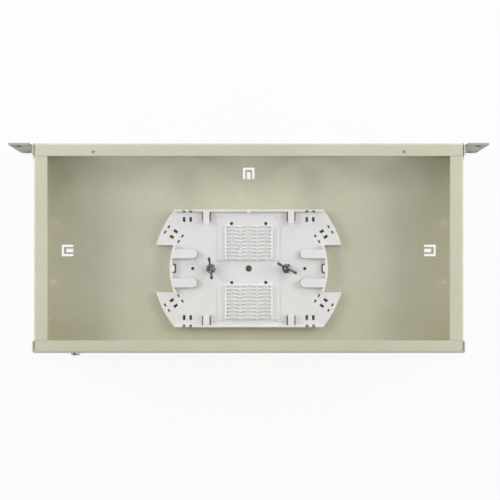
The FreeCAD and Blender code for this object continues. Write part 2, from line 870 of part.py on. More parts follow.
def splice_tray():
    """The moulded tray: floor, walls, tongues over their windows, tie slots and feet."""
    body = new_body("splice_tray")
    edge_x, edge_y = S.tray_edge_width / 2, S.tray_depth / 2
    tip_x = S.tray_width / 2
    notch_x, notch_y = S.notch_width / 2, S.notch_depth / 2
    inner_x = notch_x - S.tray_wall
    bow = S.side_edge_radius
    wing = S.wing_edge_radius

    plate = sketch_on(body, "XY_Plane", "outline")
    plate.closed([
        Corner(edge_x, -edge_y, None, wing), Corner(tip_x, -notch_y),
        Corner(notch_x, -notch_y, None, bow), Corner(notch_x, notch_y),
        Corner(tip_x, notch_y, None, wing), Corner(edge_x, edge_y),
        Corner(-edge_x, edge_y, None, wing), Corner(-tip_x, notch_y),
        Corner(-notch_x, notch_y, None, bow), Corner(-notch_x, -notch_y),
        Corner(-tip_x, -notch_y, None, wing), Corner(-edge_x, -edge_y),
    ])
    floor = pad(body, plate, "floor", S.tray_floor)
    corners = [
        f"Edge{index}" for index, edge in enumerate(floor.Shape.Edges, start=1)
        if stands_at(edge, notch_x, notch_y)
    ]
    fillet = body.newObject("PartDesign::Fillet", "splice_tray_notch_corners")
    fillet.Base = (floor, corners)
    fillet.setExpression("Radius", S.notch_fillet.text)

    walls = sketch_on(body, "XY_Plane", "walls", S.tray_floor)
    half_wall = S.end_wall_length / 2
    for end in (-1, 1):
        walls.box(-half_wall, half_wall, (edge_y - S.tray_wall) * end, edge_y * end)
    for hand in SIDES.values():
        walls.closed([
            Corner(notch_x * hand, notch_y * -hand, None, bow),
            Corner(notch_x * hand, notch_y * hand),
            Corner(inner_x * hand, notch_y * hand, None, bow, True),
            Corner(inner_x * hand, notch_y * -hand),
        ])
    pad(body, walls, "wall", S.tray_wall_height)

    feet = sketch_on(body, "XY_Plane", "feet")
    half_boss = S.boss_width / 2
    for hand in SIDES.values():
        x = S.stud_spacing / 2 * hand
        feet.box(x - half_boss, x + half_boss, -half_boss, half_boss)
    half_foot = S.foot_width / 2
    for hand, end in quadrants():
        x, y = S.foot_spacing_x / 2 * hand, S.foot_spacing_y / 2 * end
        feet.box(x - half_foot, x + half_foot, y - half_foot, y + half_foot)
    pad(body, feet, "foot", S.tray_lift, "One side", True)

    tray_tongues(body)
    for hand, end in quadrants():
        tray_tie_slots(body, hand, end)

    holes = sketch_on(body, "XY_Plane", "holes")
    holes.circle(0, 0, S.centre_hole_diameter / 2)
    for hand in SIDES.values():
        holes.circle(S.side_hole_spacing / 2 * hand, 0, S.side_hole_diameter / 2)
        holes.circle(S.stud_spacing / 2 * hand, 0, small_radius + S.stud_hole_clearance)
        for row in holder_rows().values():
            y = row - S.holder_depth / 2 - S.holder_hole_gap
            holes.circle(S.holder_hole_spacing / 2 * hand, y, S.holder_hole_diameter / 2)
    cut(body, holes, "round_holes")
    place(body, 0, S.tray_back, tray_base)


def splice_holder(row_name, row):
    """A plate with kinked ribs that grip splice sleeves, and teeth on two rails that keep them in line."""
    body = new_body(f"splice_holder_{row_name}")
    half_x, half_y = S.holder_width / 2, S.holder_depth / 2
    plate = sketch_on(body, "XY_Plane", "plate")
    plate.box(-half_x, half_x, -half_y, half_y)
    pad(body, plate, "base", S.holder_plate)

    first = S.rib_shift - (S.rib_count - 1) * S.rib_pitch / 2
    thin = S.rib_thickness / 2
    kink_in, kink_out = S.rib_kink_at - S.rib_kink_half, S.rib_kink_at + S.rib_kink_half
    last = first + (S.rib_count - 1) * S.rib_pitch
    rail = sketch_on(body, "XY_Plane", "rail", S.holder_plate)
    for hand in SIDES.values():
        rail_outer = S.rail_inner + S.rail_width
        rail.box(S.rail_inner * hand, rail_outer * hand, first - thin, last + thin)
    pad(body, rail, "rails", S.rib_height)

    rib = sketch_on(body, "XY_Plane", "rib", S.holder_plate)
    for hand in SIDES.values():
        rail_middle = S.rail_inner + S.rail_width / 2
        rib.box(S.tooth_inner * hand, rail_middle * hand, first - thin, first + thin)
        spine = [
            (S.rib_inner, first), (kink_in, first), (S.rib_kink_at, first + S.rib_kink),
            (kink_out, first), (S.rib_outer, first),
        ]
        lower = [Corner(x * hand, y - thin) for x, y in spine]
        upper = [Corner(x * hand, y + thin) for x, y in reversed(spine)]
        rib.closed(lower + upper)
    comb = pad(body, rib, "comb", S.rib_height)
    rows = body.newObject("PartDesign::LinearPattern", f"{body.Label}_rows")
    rows.Originals = [comb]
    rows.Direction = (origin_feature(body, "Y_Axis"), [""])
    rows.setExpression("Length", ((S.rib_count - 1) * S.rib_pitch).text)
    rows.setExpression("Occurrences", S.rib_count.text)
    body.Tip = rows
    doc.recompute()
    place(body, 0, S.tray_back + row, tray_top)


def wing_nut(hand_name):
    """A tapered boss with two rising wings, on its own Z axis."""
    base, top, tall = S.nut_base_diameter / 2, S.nut_top_diameter / 2, S.nut_boss_height
    bore = small_radius + S.thread_clearance
    body = turned(f"wing_nut_{hand_name}", [
        Corner(bore, 0), Corner(base, 0), Corner(top, tall), Corner(bore, tall),
    ])
    wings = sketch_on(body, "XZ_Plane", "wings")
    tip = S.wing_span / 2
    for hand in SIDES.values():
        wings.closed([
            Corner((base - S.wing_sink) * hand, S.wing_root),
            Corner(tip * hand, S.wing_tip_low, S.wing_tip_radius),
            Corner((tip - S.wing_tip_lean) * hand, S.nut_height, S.wing_tip_radius),
            Corner((tip - S.wing_tip_lean - S.wing_tip_width) * hand, S.nut_height),
            Corner((top - S.wing_sink) * hand, tall),
        ])
    pad(body, wings, "wing", S.wing_thickness, "Symmetric")
    return body


def tray_fixings():
    stud_tall = S.tray_lift + S.tray_floor + S.washer_thickness + S.nut_boss_height + S.stud_proud
    for hand_name, hand in SIDES.items():
        x = S.stud_spacing / 2 * hand
        stud = turned(f"tray_stud_{hand_name}", [
            Corner(0, 0), Corner(small_radius, 0), Corner(small_radius, stud_tall), Corner(0, stud_tall),
        ])
        place(stud, x, S.tray_back, S.sheet)
        washer = ring(
            f"tray_washer_{hand_name}", S.washer_diameter / 2,
            small_radius + S.washer_clearance, S.washer_thickness)
        place(washer, x, S.tray_back, tray_top)
        nut = wing_nut(hand_name)
        place(nut, x, S.tray_back, nut_seat, FreeCAD.Rotation(Z_AXIS, NUT_TURN[hand_name]))


base_pan()
front_panel()
rear_panel()
for hand_name in SIDES:
    rack_ear(hand_name)
ear_fixings()
ground_fixings()
splice_tray()
for row_name, row in holder_rows().items():
    splice_holder(row_name, row)
tray_fixings()

doc.recompute()
for item in doc.Objects:
    if any(word in item.State for word in ("Invalid", "Error")):
        raise RuntimeError(f"{item.Label} failed: {item.State}")
for body in parts:
    if body.Shape.isNull() or not body.Shape.isValid():
        raise RuntimeError(f"{body.Label} has no valid shape")
os.makedirs("parts", exist_ok=True)
for body in parts:
    body.Shape.exportStep(f"parts/{body.Label}.step")
    print(body.Label, len(body.Shape.Solids), round(body.Shape.Volume, 1))
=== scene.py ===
import math

import bmesh
import bpy
from bpy.props import FloatProperty, FloatVectorProperty, IntProperty, PointerProperty
from mathutils import Matrix, Vector


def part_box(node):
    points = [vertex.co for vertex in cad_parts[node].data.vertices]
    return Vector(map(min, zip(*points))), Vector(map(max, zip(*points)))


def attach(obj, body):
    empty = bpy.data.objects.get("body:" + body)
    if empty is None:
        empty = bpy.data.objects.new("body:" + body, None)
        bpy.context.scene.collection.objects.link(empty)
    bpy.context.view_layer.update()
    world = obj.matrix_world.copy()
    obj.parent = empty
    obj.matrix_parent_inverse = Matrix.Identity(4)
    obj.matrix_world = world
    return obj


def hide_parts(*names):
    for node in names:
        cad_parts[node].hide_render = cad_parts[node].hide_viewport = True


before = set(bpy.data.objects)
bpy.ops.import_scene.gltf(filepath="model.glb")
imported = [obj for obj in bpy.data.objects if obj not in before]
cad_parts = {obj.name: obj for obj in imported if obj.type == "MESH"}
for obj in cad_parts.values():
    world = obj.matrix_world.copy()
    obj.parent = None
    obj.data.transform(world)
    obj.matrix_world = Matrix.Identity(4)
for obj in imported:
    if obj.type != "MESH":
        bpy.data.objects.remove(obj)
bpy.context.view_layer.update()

bl_info = {
    "name": "Fibre distribution box",
    "version": (1, 0, 0),
    "blender": (4, 5, 0),
    "location": "3D View > Sidebar > Fibre box",
    "description": "Dresses a folded steel fibre distribution box with its splice tray and fasteners",
    "category": "Object",
}

MM = 0.001
HANDS = {"left": -1, "right": 1}
LEVELS = ("lower", "upper")

# Sides of a turned form.
ROUND = 48

# Radii of the two threads, the play of a nut on its thread and the holes of the washers, in millimetres.
M4, M5 = 2.0, 2.5
NUT_PLAY = 0.06
WASHER_HOLE = 2.15
TOOTHED_HOLE = 2.75


def linear(shade):
    """An sRGB hex colour as linear red, green, blue and full opacity."""
    parts = [int(shade[place:place + 2], 16) / 255 for place in (1, 3, 5)]
    return (*[part / 12.92 if part <= 0.04045 else ((part + 0.055) / 1.055) ** 2.4 for part in parts], 1.0)


def middle(node):
    """The middle of a node's box."""
    low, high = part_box(node)
    return (low + high) / 2


def length(label, about, millimetres):
    """A length property in metres."""
    return FloatProperty(
        name=label, description=about, default=millimetres * MM, unit="LENGTH", subtype="DISTANCE",
        precision=5)


def angle(label, about, degrees):
    """An angle property in radians."""
    return FloatProperty(
        name=label, description=about, default=math.radians(degrees), unit="ROTATION", subtype="ANGLE")


def colour(label, about, shade):
    """A colour property from an sRGB hex value."""
    return FloatVectorProperty(
        name=label, description=about, default=linear(shade), size=4, min=0.0, max=1.0, subtype="COLOR")


def strength(label, about, share):
    """A property for how strongly something shines."""
    return FloatProperty(name=label, description=about, default=share, min=0.0)


def power(label, about, watts):
    """A property for a lamp's power."""
    return FloatProperty(name=label, description=about, default=watts, unit="POWER")


def position(label, about, metres):
    """A property for a place in the room."""
    return FloatVectorProperty(
        name=label, description=about, default=metres, size=3, unit="LENGTH", subtype="TRANSLATION")


class SteelSettings(bpy.types.PropertyGroup):
    peel: length("Orange peel", "Spacing of the powder coat's ripples", 1.4)
    coat: colour("Powder coat", "Main colour of the powder coat", "#CFCCB8")
    coat_shade: colour("Powder coat shade", "Slightly darker colour in the powder coat", "#C6C3AE")
    ear: colour("Ear steel", "Colour of the plated ears", "#96928B")
    ear_shade: colour("Ear steel shade", "Darker streaks in the plated ears", "#7E7A73")
    # A painted highlight: the ears' top edge is lighter as if lit from above.
    ear_lit_edge: colour("Ear edge", "Sheared upper edge of the ears", "#BBB9B4")


class FastenerSettings(bpy.types.PropertyGroup):
    pitch: length("Pitch", "Pitch of the M4 threads", 0.7)
    ridge: length("Ridge", "Height of a thread's ridge over its core", 0.25)
    head: length("Head", "Height of the ear screws' pan heads", 2.0)
    ground_head: length("Ground head", "Height of the ground screw's pan head", 3.4)
    teeth: IntProperty(
        name="Teeth", description="Teeth round the ground washer", default=14, min=6, max=30)
    wing: length("Wing", "Thickness of the wing nuts' wings at their arms", 1.8)
    wing_span: length("Wing span", "Distance over the two wings of a wing nut", 22.6)
    boss: length("Boss", "Height of the wing nuts' threaded boss", 4.6)
    left_turn: angle("Left turn", "Turn of the left wing nut on its stud, at rest", 152.0)
    right_turn: angle("Right turn", "Turn of the right wing nut on its stud, at rest", 97.5)
    zinc: colour("Zinc", "Bright zinc plate", "#CDD3D8")
    zinc_shade: colour("Zinc shade", "Dull patches in the zinc plate", "#4A5258")
    # The wing nuts' plate: its dark colour fills their dull patches and is also painted onto the wings as
    # painted shade.
    wing_nut_zinc: colour("Wing nut zinc", "Zinc plate on the wing nuts", "#C4CBD1")
    wing_nut_dull_and_painted_shade: colour("Wing nut zinc shade", "Dark patches in the wing nuts' plate", "#23282C")


class TraySettings(bpy.types.PropertyGroup):
    plate: length("Holder plate", "Thickness of a splice holder's plate", 1.0)
    ribs: IntProperty(
        name="Ribs", description="Ribs in each comb of a splice holder", default=10, min=2, max=24)
    rib_pitch: length("Rib pitch", "Spacing of a comb's ribs", 3.8)
    rib: length("Rib", "Thickness of a comb's ribs", 1.0)
    tooth: length("Tooth", "Where a comb's short teeth start from its plate's middle", 19.4)
    rail: length("Rail", "Where the rail behind the teeth starts from its plate's middle", 23.6)
    rail_width: length("Rail width", "Width of the rail behind the teeth", 1.2)
    comb_shift: length("Comb shift", "How far a comb's middle is from its plate's middle", -0.5)
    lift: length("Lift", "Height of the tray's feet", 4.0)
    skirt: length("Skirt", "Drop of the wall that hangs from the tray's outline", 3.4)
    skirt_wall: length("Skirt wall", "Thickness of the wall that hangs from the tray's outline", 1.2)
    floor: length("Floor", "Thickness of the tray's floor", 1.8)
    peg: length("Peg", "Diameter of the small pegs by the tray's end walls", 1.6)
    peg_height: length("Peg height", "Height of the small pegs over the tray's floor", 2.6)
    peg_spacing: length("Peg spacing", "Distance between the two pegs at one end", 64.0)
    peg_reach: length("Peg reach", "Distance of the pegs from the tray's middle", 54.8)
    moulding: colour("Tray plastic", "White of the moulded tray", "#EFEEED")
    moulding_shade: colour("Tray shade", "Slightly greyer flow in the moulding", "#E8E7E6")
    holder: colour("Holder plastic", "White of the splice holders", "#EFEEED")
    holder_shade: colour("Holder shade", "Slightly greyer flow in the holders", "#E9E8E7")


class StageSettings(bpy.types.PropertyGroup):
    eye: length("Eye height", "Height of the camera over the bench", 773.6)
    eye_back: length("Eye back", "How far behind the box's middle the camera stands", 44.1)
    lens: FloatProperty(name="Lens", description="Focal length of the camera", default=52.4, min=10.0)
    shift: FloatVectorProperty(
        name="Shift", description="Shift of the picture sideways and upwards", default=(0.0025, 0.084),
        size=2)
    paper: colour("Paper", "Colour of the bench paper's own light", "#FFFFFF")
    paper_shade: colour("Paper shade", "Grey of the bench paper under the lamps", "#404040")
    glow: strength("Glow", "Own light of the bench paper", 0.9)
    sky: strength("Sky", "Strength of the light from the room", 0.84)
    zenith: strength("Zenith", "Strength of the light from overhead", 0.25)
    side: power("Side", "Power of the soft lights at the sides", 7.8)
    side_place: position(
        "Side place", "Place of the right light, which the left one mirrors", (1.1, -0.3, 0.5))
    side_size: length("Side size", "Diameter of the soft lights at the sides", 700.0)
    front: power("Front", "Power of the low soft light in front", 10.0)
    front_place: position("Front place", "Place of the low soft light in front", (0.0, -1.5, 0.5))
    front_size: length("Front size", "Diameter of the low soft light in front", 1000.0)


class BoxSettings(bpy.types.PropertyGroup):
    steel: PointerProperty(type=SteelSettings)
    fasteners: PointerProperty(type=FastenerSettings)
    tray: PointerProperty(type=TraySettings)
    stage: PointerProperty(type=StageSettings)


def add_node(tree, kind, inputs=None, **settings):
    """Add a node, set its own settings, and give its inputs a link or a constant."""
    node = tree.nodes.new(kind)
    for name, value in settings.items():
        setattr(node, name, value)
    for name, value in (inputs or {}).items():
        if isinstance(value, bpy.types.NodeSocket):
            tree.links.new(value, node.inputs[name])
        else:
            node.inputs[name].default_value = value
    return node


def finish(name, build):
    """The material of that name, made by build the first time it is asked for."""
    found = bpy.data.materials.get(name)
    if found is not None:
        return found
    material = bpy.data.materials.new(name)
    material.use_nodes = True
    tree = material.node_tree
    tree.nodes.clear()
    where = add_node(tree, "ShaderNodeTexCoord").outputs["Object"]
    shader = build(tree, where)
    add_node(tree, "ShaderNodeOutputMaterial", {"Surface": shader.outputs["BSDF"]})
    return material


def powder_coat():
    """Polyester powder on folded steel: baked on, so it is matt with a fine orange peel."""
    steel = bpy.context.scene.fibre_box.steel
    cloud_size, peel_depth = 60 * MM, 0.06 * MM
    # Coarser than real powder, so that it shows.
    grit_size = 2.2 * MM

    def build(tree, where):
        cloud = add_node(tree, "ShaderNodeTexNoise", {
            "Vector": where, "Scale": 1 / cloud_size, "Detail": 3.0})
        grit = add_node(tree, "ShaderNodeTexNoise", {
            "Vector": where, "Scale": 1 / grit_size, "Detail": 2.0})
        blend = add_node(
            tree, "ShaderNodeMath", {0: cloud.outputs["Fac"], 1: grit.outputs["Fac"]}, operation="MULTIPLY")
        spread = add_node(tree, "ShaderNodeMapRange", {
            "Value": blend.outputs[0], "From Min": 0.1, "From Max": 0.42})
        shade = add_node(
            tree, "ShaderNodeMix", {0: spread.outputs[0], 6: steel.coat_shade, 7: steel.coat},
            data_type="RGBA")
        gloss = add_node(tree, "ShaderNodeMapRange", {
            "Value": grit.outputs["Fac"], "To Min": 0.48, "To Max": 0.62})
        peel = add_node(tree, "ShaderNodeTexNoise", {
            "Vector": where, "Scale": 1 / steel.peel, "Detail": 1.0})
        bump = add_node(tree, "ShaderNodeBump", {
            "Height": peel.outputs["Fac"], "Strength": 0.25, "Distance": peel_depth})
        return add_node(tree, "ShaderNodeBsdfPrincipled", {
            "Base Color": shade.outputs[2], "Roughness": gloss.outputs[0], "IOR": 1.5,
            "Normal": bump.outputs[0]})

    return finish("powder_coated_steel", build)


def plated_steel():
    """Bare sheet with a dull plate: rolled, so fine streaks run along it.

    The shear tore its upper edge, which is rougher; its lighter colour is a painted highlight, the top lit
    from above.
    """
    steel = bpy.context.scene.fibre_box.steel
    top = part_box("rack_ear_left")[1].z
    torn_low, torn_high, torn_gloss = top - 0.3 * MM, top - 0.1 * MM, 0.75
    streak_size = (30 * MM, 0.6 * MM, 0.6 * MM)
    streak_depth, cloud_size = 0.03 * MM, 9 * MM

    def build(tree, where):
        along = add_node(tree, "ShaderNodeMapping", {
            "Vector": where, "Scale": tuple(1 / size for size in streak_size)})
        streak = add_node(tree, "ShaderNodeTexNoise", {
            "Vector": along.outputs[0], "Scale": 1.0, "Detail": 4.0})
        cloud = add_node(tree, "ShaderNodeTexNoise", {
            "Vector": where, "Scale": 1 / cloud_size, "Detail": 3.0})
        blend = add_node(
            tree, "ShaderNodeMath", {0: streak.outputs["Fac"], 1: cloud.outputs["Fac"]}, operation="ADD")
        spread = add_node(tree, "ShaderNodeMapRange", {
            "Value": blend.outputs[0], "From Min": 0.7, "From Max": 1.3})
        shade = add_node(
            tree, "ShaderNodeMix", {0: spread.outputs[0], 6: steel.ear_shade, 7: steel.ear},
            data_type="RGBA")
        gloss = add_node(tree, "ShaderNodeMapRange", {
            "Value": spread.outputs[0], "To Min": 0.5, "To Max": 0.34})
        axes = add_node(tree, "ShaderNodeSeparateXYZ", {0: where})
        # Painted highlight: the top 0.3 mm of the ear is lighter as if lit from above; the same band is
        # rougher, as a torn edge is.
        torn_and_lit_top = add_node(tree, "ShaderNodeMapRange", {
            "Value": axes.outputs["Z"], "From Min": torn_low, "From Max": torn_high})
        edge = add_node(
            tree, "ShaderNodeMix", {0: torn_and_lit_top.outputs[0], 6: shade.outputs[2], 7: steel.ear_lit_edge},
            data_type="RGBA")
        torn = add_node(
            tree, "ShaderNodeMix", {0: torn_and_lit_top.outputs[0], 2: gloss.outputs[0], 3: torn_gloss},
            data_type="FLOAT")
        bump = add_node(tree, "ShaderNodeBump", {
            "Height": streak.outputs["Fac"], "Strength": 0.15, "Distance": streak_depth})
        return add_node(tree, "ShaderNodeBsdfPrincipled", {
            "Base Color": edge.outputs[2], "Metallic": 1.0, "Roughness": torn.outputs[0],
            "Normal": bump.outputs[0]})

    return finish("plated_sheet_steel", build)


def zinc(name, light, dark, gloss_low, gloss_high, painted_wing_shade=False):
    """Zinc on turned and pressed steel: bluish, dull in patches where the plate is thin, and with painted
    shade on a wing nut's wings when asked for.
    """
    patch_size, grain_depth = 2.2 * MM, 0.02 * MM
    # Coarser than the real grain, so that it shows.
    grain_size = 0.35 * MM
    # Distances from the stud where a boss ends and a wing begins, and the share of bright plate left on a
    # wing under the painted shade.
    boss_end, wing_start, wing_share = 3.2 * MM, 4.6 * MM, 0.3

    def build(tree, where):
        patch = add_node(tree, "ShaderNodeTexNoise", {
            "Vector": where, "Scale": 1 / patch_size, "Detail": 2.0})
        spread = add_node(tree, "ShaderNodeMapRange", {
            "Value": patch.outputs["Fac"], "From Min": 0.4, "From Max": 0.6})
        bright = spread.outputs[0]
        # Painted shade: the plate grows darker from the boss out along the wings, standing in for the dark
        # overhead that the wings' tops reflect.
        if painted_wing_shade:
            # Both nuts stand the same way from their studs once the left half is folded onto the right.
            stud = middle("tray_stud_right")
            folded = add_node(tree, "ShaderNodeVectorMath", {0: where}, operation="ABSOLUTE")
            flat = add_node(tree, "ShaderNodeMapping", {
                "Vector": folded.outputs[0], "Location": (-stud.x, -stud.y, 0.0), "Scale": (1.0, 1.0, 0.0)})
            away = add_node(tree, "ShaderNodeVectorMath", {0: flat.outputs[0]}, operation="LENGTH")
            unshaded_share = add_node(tree, "ShaderNodeMapRange", {
                "Value": away.outputs["Value"], "From Min": boss_end, "From Max": wing_start,
                "To Min": 1.0, "To Max": wing_share})
            bright = add_node(
                tree, "ShaderNodeMath", {0: bright, 1: unshaded_share.outputs[0]}, operation="MULTIPLY").outputs[0]
        shade = add_node(tree, "ShaderNodeMix", {0: bright, 6: dark, 7: light}, data_type="RGBA")
        gloss = add_node(tree, "ShaderNodeMapRange", {
            "Value": bright, "To Min": gloss_high, "To Max": gloss_low})
        grain = add_node(tree, "ShaderNodeTexNoise", {
            "Vector": where, "Scale": 1 / grain_size, "Detail": 2.0})
        bump = add_node(tree, "ShaderNodeBump", {
            "Height": grain.outputs["Fac"], "Strength": 0.2, "Distance": grain_depth})
        return add_node(tree, "ShaderNodeBsdfPrincipled", {
            "Base Color": shade.outputs[2], "Metallic": 1.0, "Roughness": gloss.outputs[0],
            "Normal": bump.outputs[0]})

    return finish(name, build)


def zinc_plate():
    """Bright zinc, as on screws, plain nuts, studs and washers."""
    fasteners = bpy.context.scene.fibre_box.fasteners
    return zinc("bright_zinc_plate", fasteners.zinc, fasteners.zinc_shade, gloss_low=0.12, gloss_high=0.34)


def zinc_with_painted_wing_shade():
    """Zinc on the wing nuts, with painted shade on the wings: darker away from the boss, for the dark
    overhead that their tops reflect.
    """
    fasteners = bpy.context.scene.fibre_box.fasteners
    return zinc(
        "zinc_plate_with_painted_wing_shade", fasteners.wing_nut_zinc, fasteners.wing_nut_dull_and_painted_shade, gloss_low=0.2, gloss_high=0.5, painted_wing_shade=True)


def moulded_plastic(name, light, dark, gloss_low):
    """Injection-moulded white plastic: satin, with a soft flow pattern and a faint spark-eroded grain."""
    flow_size, grain_depth, gloss_range, scatter = 28 * MM, 0.03 * MM, 0.14, 1.0 * MM
    # Coarser than the real grain, so that it shows.
    grain_size = 0.9 * MM

    def build(tree, where):
        flow = add_node(tree, "ShaderNodeTexNoise", {
            "Vector": where, "Scale": 1 / flow_size, "Detail": 2.0, "Distortion": 0.6})
        shade = add_node(
            tree, "ShaderNodeMix", {0: flow.outputs["Fac"], 6: dark, 7: light}, data_type="RGBA")
        grain = add_node(tree, "ShaderNodeTexNoise", {
            "Vector": where, "Scale": 1 / grain_size, "Detail": 2.0})
        gloss = add_node(tree, "ShaderNodeMapRange", {
            "Value": grain.outputs["Fac"], "To Min": gloss_low, "To Max": gloss_low + gloss_range})
        bump = add_node(tree, "ShaderNodeBump", {
            "Height": grain.outputs["Fac"], "Strength": 0.12, "Distance": grain_depth})
        return add_node(tree, "ShaderNodeBsdfPrincipled", {
            "Base Color": shade.outputs[2], "Roughness": gloss.outputs[0], "IOR": 1.53,
            "Subsurface Weight": 1.0, "Subsurface Radius": (1.0, 1.0, 1.0), "Subsurface Scale": scatter,
            "Normal": bump.outputs[0]})

    return finish(name, build)


def tray_plastic():
    """The tray's white ABS, with the gloss of a polished mould."""
    tray = bpy.context.scene.fibre_box.tray
    return moulded_plastic("white_abs_tray", tray.moulding, tray.moulding_shade, gloss_low=0.36)


def holder_plastic():
    """The splice holders' white ABS, a little duller than the tray's."""
    tray = bpy.context.scene.fibre_box.tray
    return moulded_plastic("white_abs_holder", tray.holder, tray.holder_shade, gloss_low=0.42)


def as_mesh(form, name):
    """A plain mesh from an edited form, which is then let go."""
    mesh = bpy.data.meshes.new(name)
    form.to_mesh(mesh)
    form.free()
    return mesh


def smooth(mesh, degrees):
    """Shade round forms smooth and keep edges sharper than the angle."""
    form = bmesh.new()
    form.from_mesh(mesh)
    for face in form.faces:
        face.smooth = True
    for edge in form.edges:
        edge.smooth = edge.calc_face_angle(math.pi) < math.radians(degrees)
    form.to_mesh(mesh)
    form.free()


def put(name, mesh, material, body, nodes, place=Matrix()):
    """Add a finished piece: a mesh at its place, riding on a body and standing for its nodes."""
    mesh.name = name
    mesh.transform(place)
    mesh.materials.clear()
    mesh.materials.append(material)
    piece = bpy.data.objects.new(name, mesh)
    bpy.context.scene.collection.objects.link(piece)
    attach(piece, body)
    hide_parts(*nodes)


def plain_mesh(holder, name):
    """The evaluated mesh of an object with modifiers, as a plain mesh, with the object removed."""
    seen = holder.evaluated_get(bpy.context.evaluated_depsgraph_get())
    mesh = bpy.data.meshes.new_from_object(seen)
    mesh.name = name
    bpy.data.objects.remove(holder)
    return mesh


def scratch(mesh, name):
    """An object that only carries modifiers until its mesh is taken."""
    holder = bpy.data.objects.new(name, mesh)
    bpy.context.scene.collection.objects.link(holder)
    return holder


def edged(mesh, name, width, steps):
    """The mesh with its sharp edges rounded off."""
    holder = scratch(mesh, name)
    bevel = holder.modifiers.new("edge", "BEVEL")
    bevel.width = width
    bevel.segments = steps
    bevel.limit_method = "ANGLE"
    bevel.angle_limit = math.radians(40)
    bevel.use_clamp_overlap = False
    return plain_mesh(holder, name)


def merged_copy(node):
    """A node's mesh as a closed copy, with each flat face in few pieces."""
    form = bmesh.new()
    form.from_mesh(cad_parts[node].data)
    bmesh.ops.remove_doubles(form, verts=form.verts, dist=0.002 * MM)
    bmesh.ops.dissolve_limit(form, angle_limit=math.radians(0.5), verts=form.verts, edges=form.edges)
    mesh = as_mesh(form, node)
    # Stored normals belong to the loose triangles, and would spoil the shading of the merged faces.
    stored = mesh.attributes.get("custom_normal")
    if stored is not None:
        mesh.attributes.remove(stored)
    return mesh


def skin(rings, ring_closed=False):
    """Quads between rings of points, closed into a loop of rings or capped at both ends."""
    form = bmesh.new()
    rows = [[form.verts.new(point) for point in ring] for ring in rings]
    pairs = list(zip(rows, rows[1:]))
    if ring_closed:
        pairs.append((rows[-1], rows[0]))
    for first, second in pairs:
        for index in range(len(first)):
            after = (index + 1) % len(first)
            form.faces.new((first[index], first[after], second[after], second[index]))
    if not ring_closed:
        form.faces.new(list(reversed(rows[0])))
        form.faces.new(rows[-1])
    bmesh.ops.recalc_face_normals(form, faces=form.faces)
    return form


def lathe(profile, ring_closed=False, around=ROUND):
    """A turned form about +Z from (radius, height) spots in millimetres."""
    turns = [2 * math.pi * step / around for step in range(around)]
    return skin([
        [Vector((radius * math.cos(turn), radius * math.sin(turn), height)) * MM for turn in turns]
        for radius, height in profile
    ], ring_closed)


def joined(name, placed):
    """One mesh from (mesh, matrix) pairs."""
    form = bmesh.new()
    for mesh, matrix in placed:
        part = mesh.copy()
        part.transform(matrix)
        form.from_mesh(part)
        bpy.data.meshes.remove(part)
    return as_mesh(form, name)


def combined(name, base, other, operation):
    """A plain mesh from a base and the form that is added to it or cut from it."""
    tool = scratch(other, f"{name}_tool")
    holder = scratch(base, name)
    change = holder.modifiers.new("change", "BOOLEAN")
    change.operation = operation
    change.solver = "EXACT"
    change.use_self = True
    change.object = tool
    mesh = plain_mesh(holder, name)
    bpy.data.objects.remove(tool)
    return mesh


def united(name, base, rest):
    """One closed mesh from a base and the forms that grow out of it."""
    mesh = combined(name, base, rest, "UNION")
    weld = 0.005 * MM
    form = bmesh.new()
    form.from_mesh(mesh)
    bmesh.ops.remove_doubles(form, verts=form.verts, dist=weld)
    bmesh.ops.dissolve_degenerate(form, edges=form.edges, dist=weld)
    form.to_mesh(mesh)
    form.free()
    return mesh


def tree_of(name, sockets):
    """A Geometry Nodes tree with named inputs, and its two end nodes."""
    tree = bpy.data.node_groups.new(name, "GeometryNodeTree")
    tree.interface.new_socket("Geometry", in_out="OUTPUT", socket_type="NodeSocketGeometry")
    for label, kind in sockets.items():
        tree.interface.new_socket(label, in_out="INPUT", socket_type=kind)
    return tree, tree.nodes.new("NodeGroupInput"), tree.nodes.new("NodeGroupOutput")


def close_tree(tree, out, geometry, material):
    """End a tree in real geometry with its material."""
    real = add_node(tree, "GeometryNodeRealizeInstances", {"Geometry": geometry})
    dressed = add_node(tree, "GeometryNodeSetMaterial", {"Geometry": real.outputs[0], "Material": material})
    tree.links.new(dressed.outputs[0], out.inputs[0])
    return tree


def grown(tree, name, values):
    """The plain mesh that a tree makes with these input values."""
    holder = scratch(bpy.data.meshes.new(name), name)
    modifier = holder.modifiers.new(name, "NODES")
    modifier.node_group = tree
    for item in tree.interface.items_tree:
        if item.in_out == "INPUT":
            modifier[item.identifier] = values[item.name]
    return plain_mesh(holder, name)


def row_tree():
    """Copies of one form in a straight row, each turned the same way."""
    found = bpy.data.node_groups.get("row_of_copies")
    if found is not None:
        return found
    tree, start, out = tree_of("row_of_copies", {
        "Form": "NodeSocketObject", "Count": "NodeSocketInt", "First": "NodeSocketVector",
        "Step": "NodeSocketVector", "Turn": "NodeSocketVector", "Material": "NodeSocketMaterial"})
    form = add_node(tree, "GeometryNodeObjectInfo", {"Object": start.outputs["Form"]})
    row = add_node(tree, "GeometryNodeMeshLine", {
        "Count": start.outputs["Count"], "Start Location": start.outputs["First"],
        "Offset": start.outputs["Step"]})
    turn = add_node(tree, "FunctionNodeEulerToRotation", {0: start.outputs["Turn"]})
    copies = add_node(tree, "GeometryNodeInstanceOnPoints", {
        "Points": row.outputs[0], "Instance": form.outputs["Geometry"], "Rotation": turn.outputs[0]})
    return close_tree(tree, out, copies.outputs[0], start.outputs["Material"])


def in_row(form_mesh, name, count, first, step, turn, material):
    """A plain mesh with copies of a form in a row."""
    form = scratch(form_mesh, f"{name}_form")
    mesh = grown(row_tree(), name, {
        "Form": form, "Count": count, "First": tuple(first), "Step": tuple(step), "Turn": turn,
        "Material": material})
    bpy.data.objects.remove(form)
    return mesh


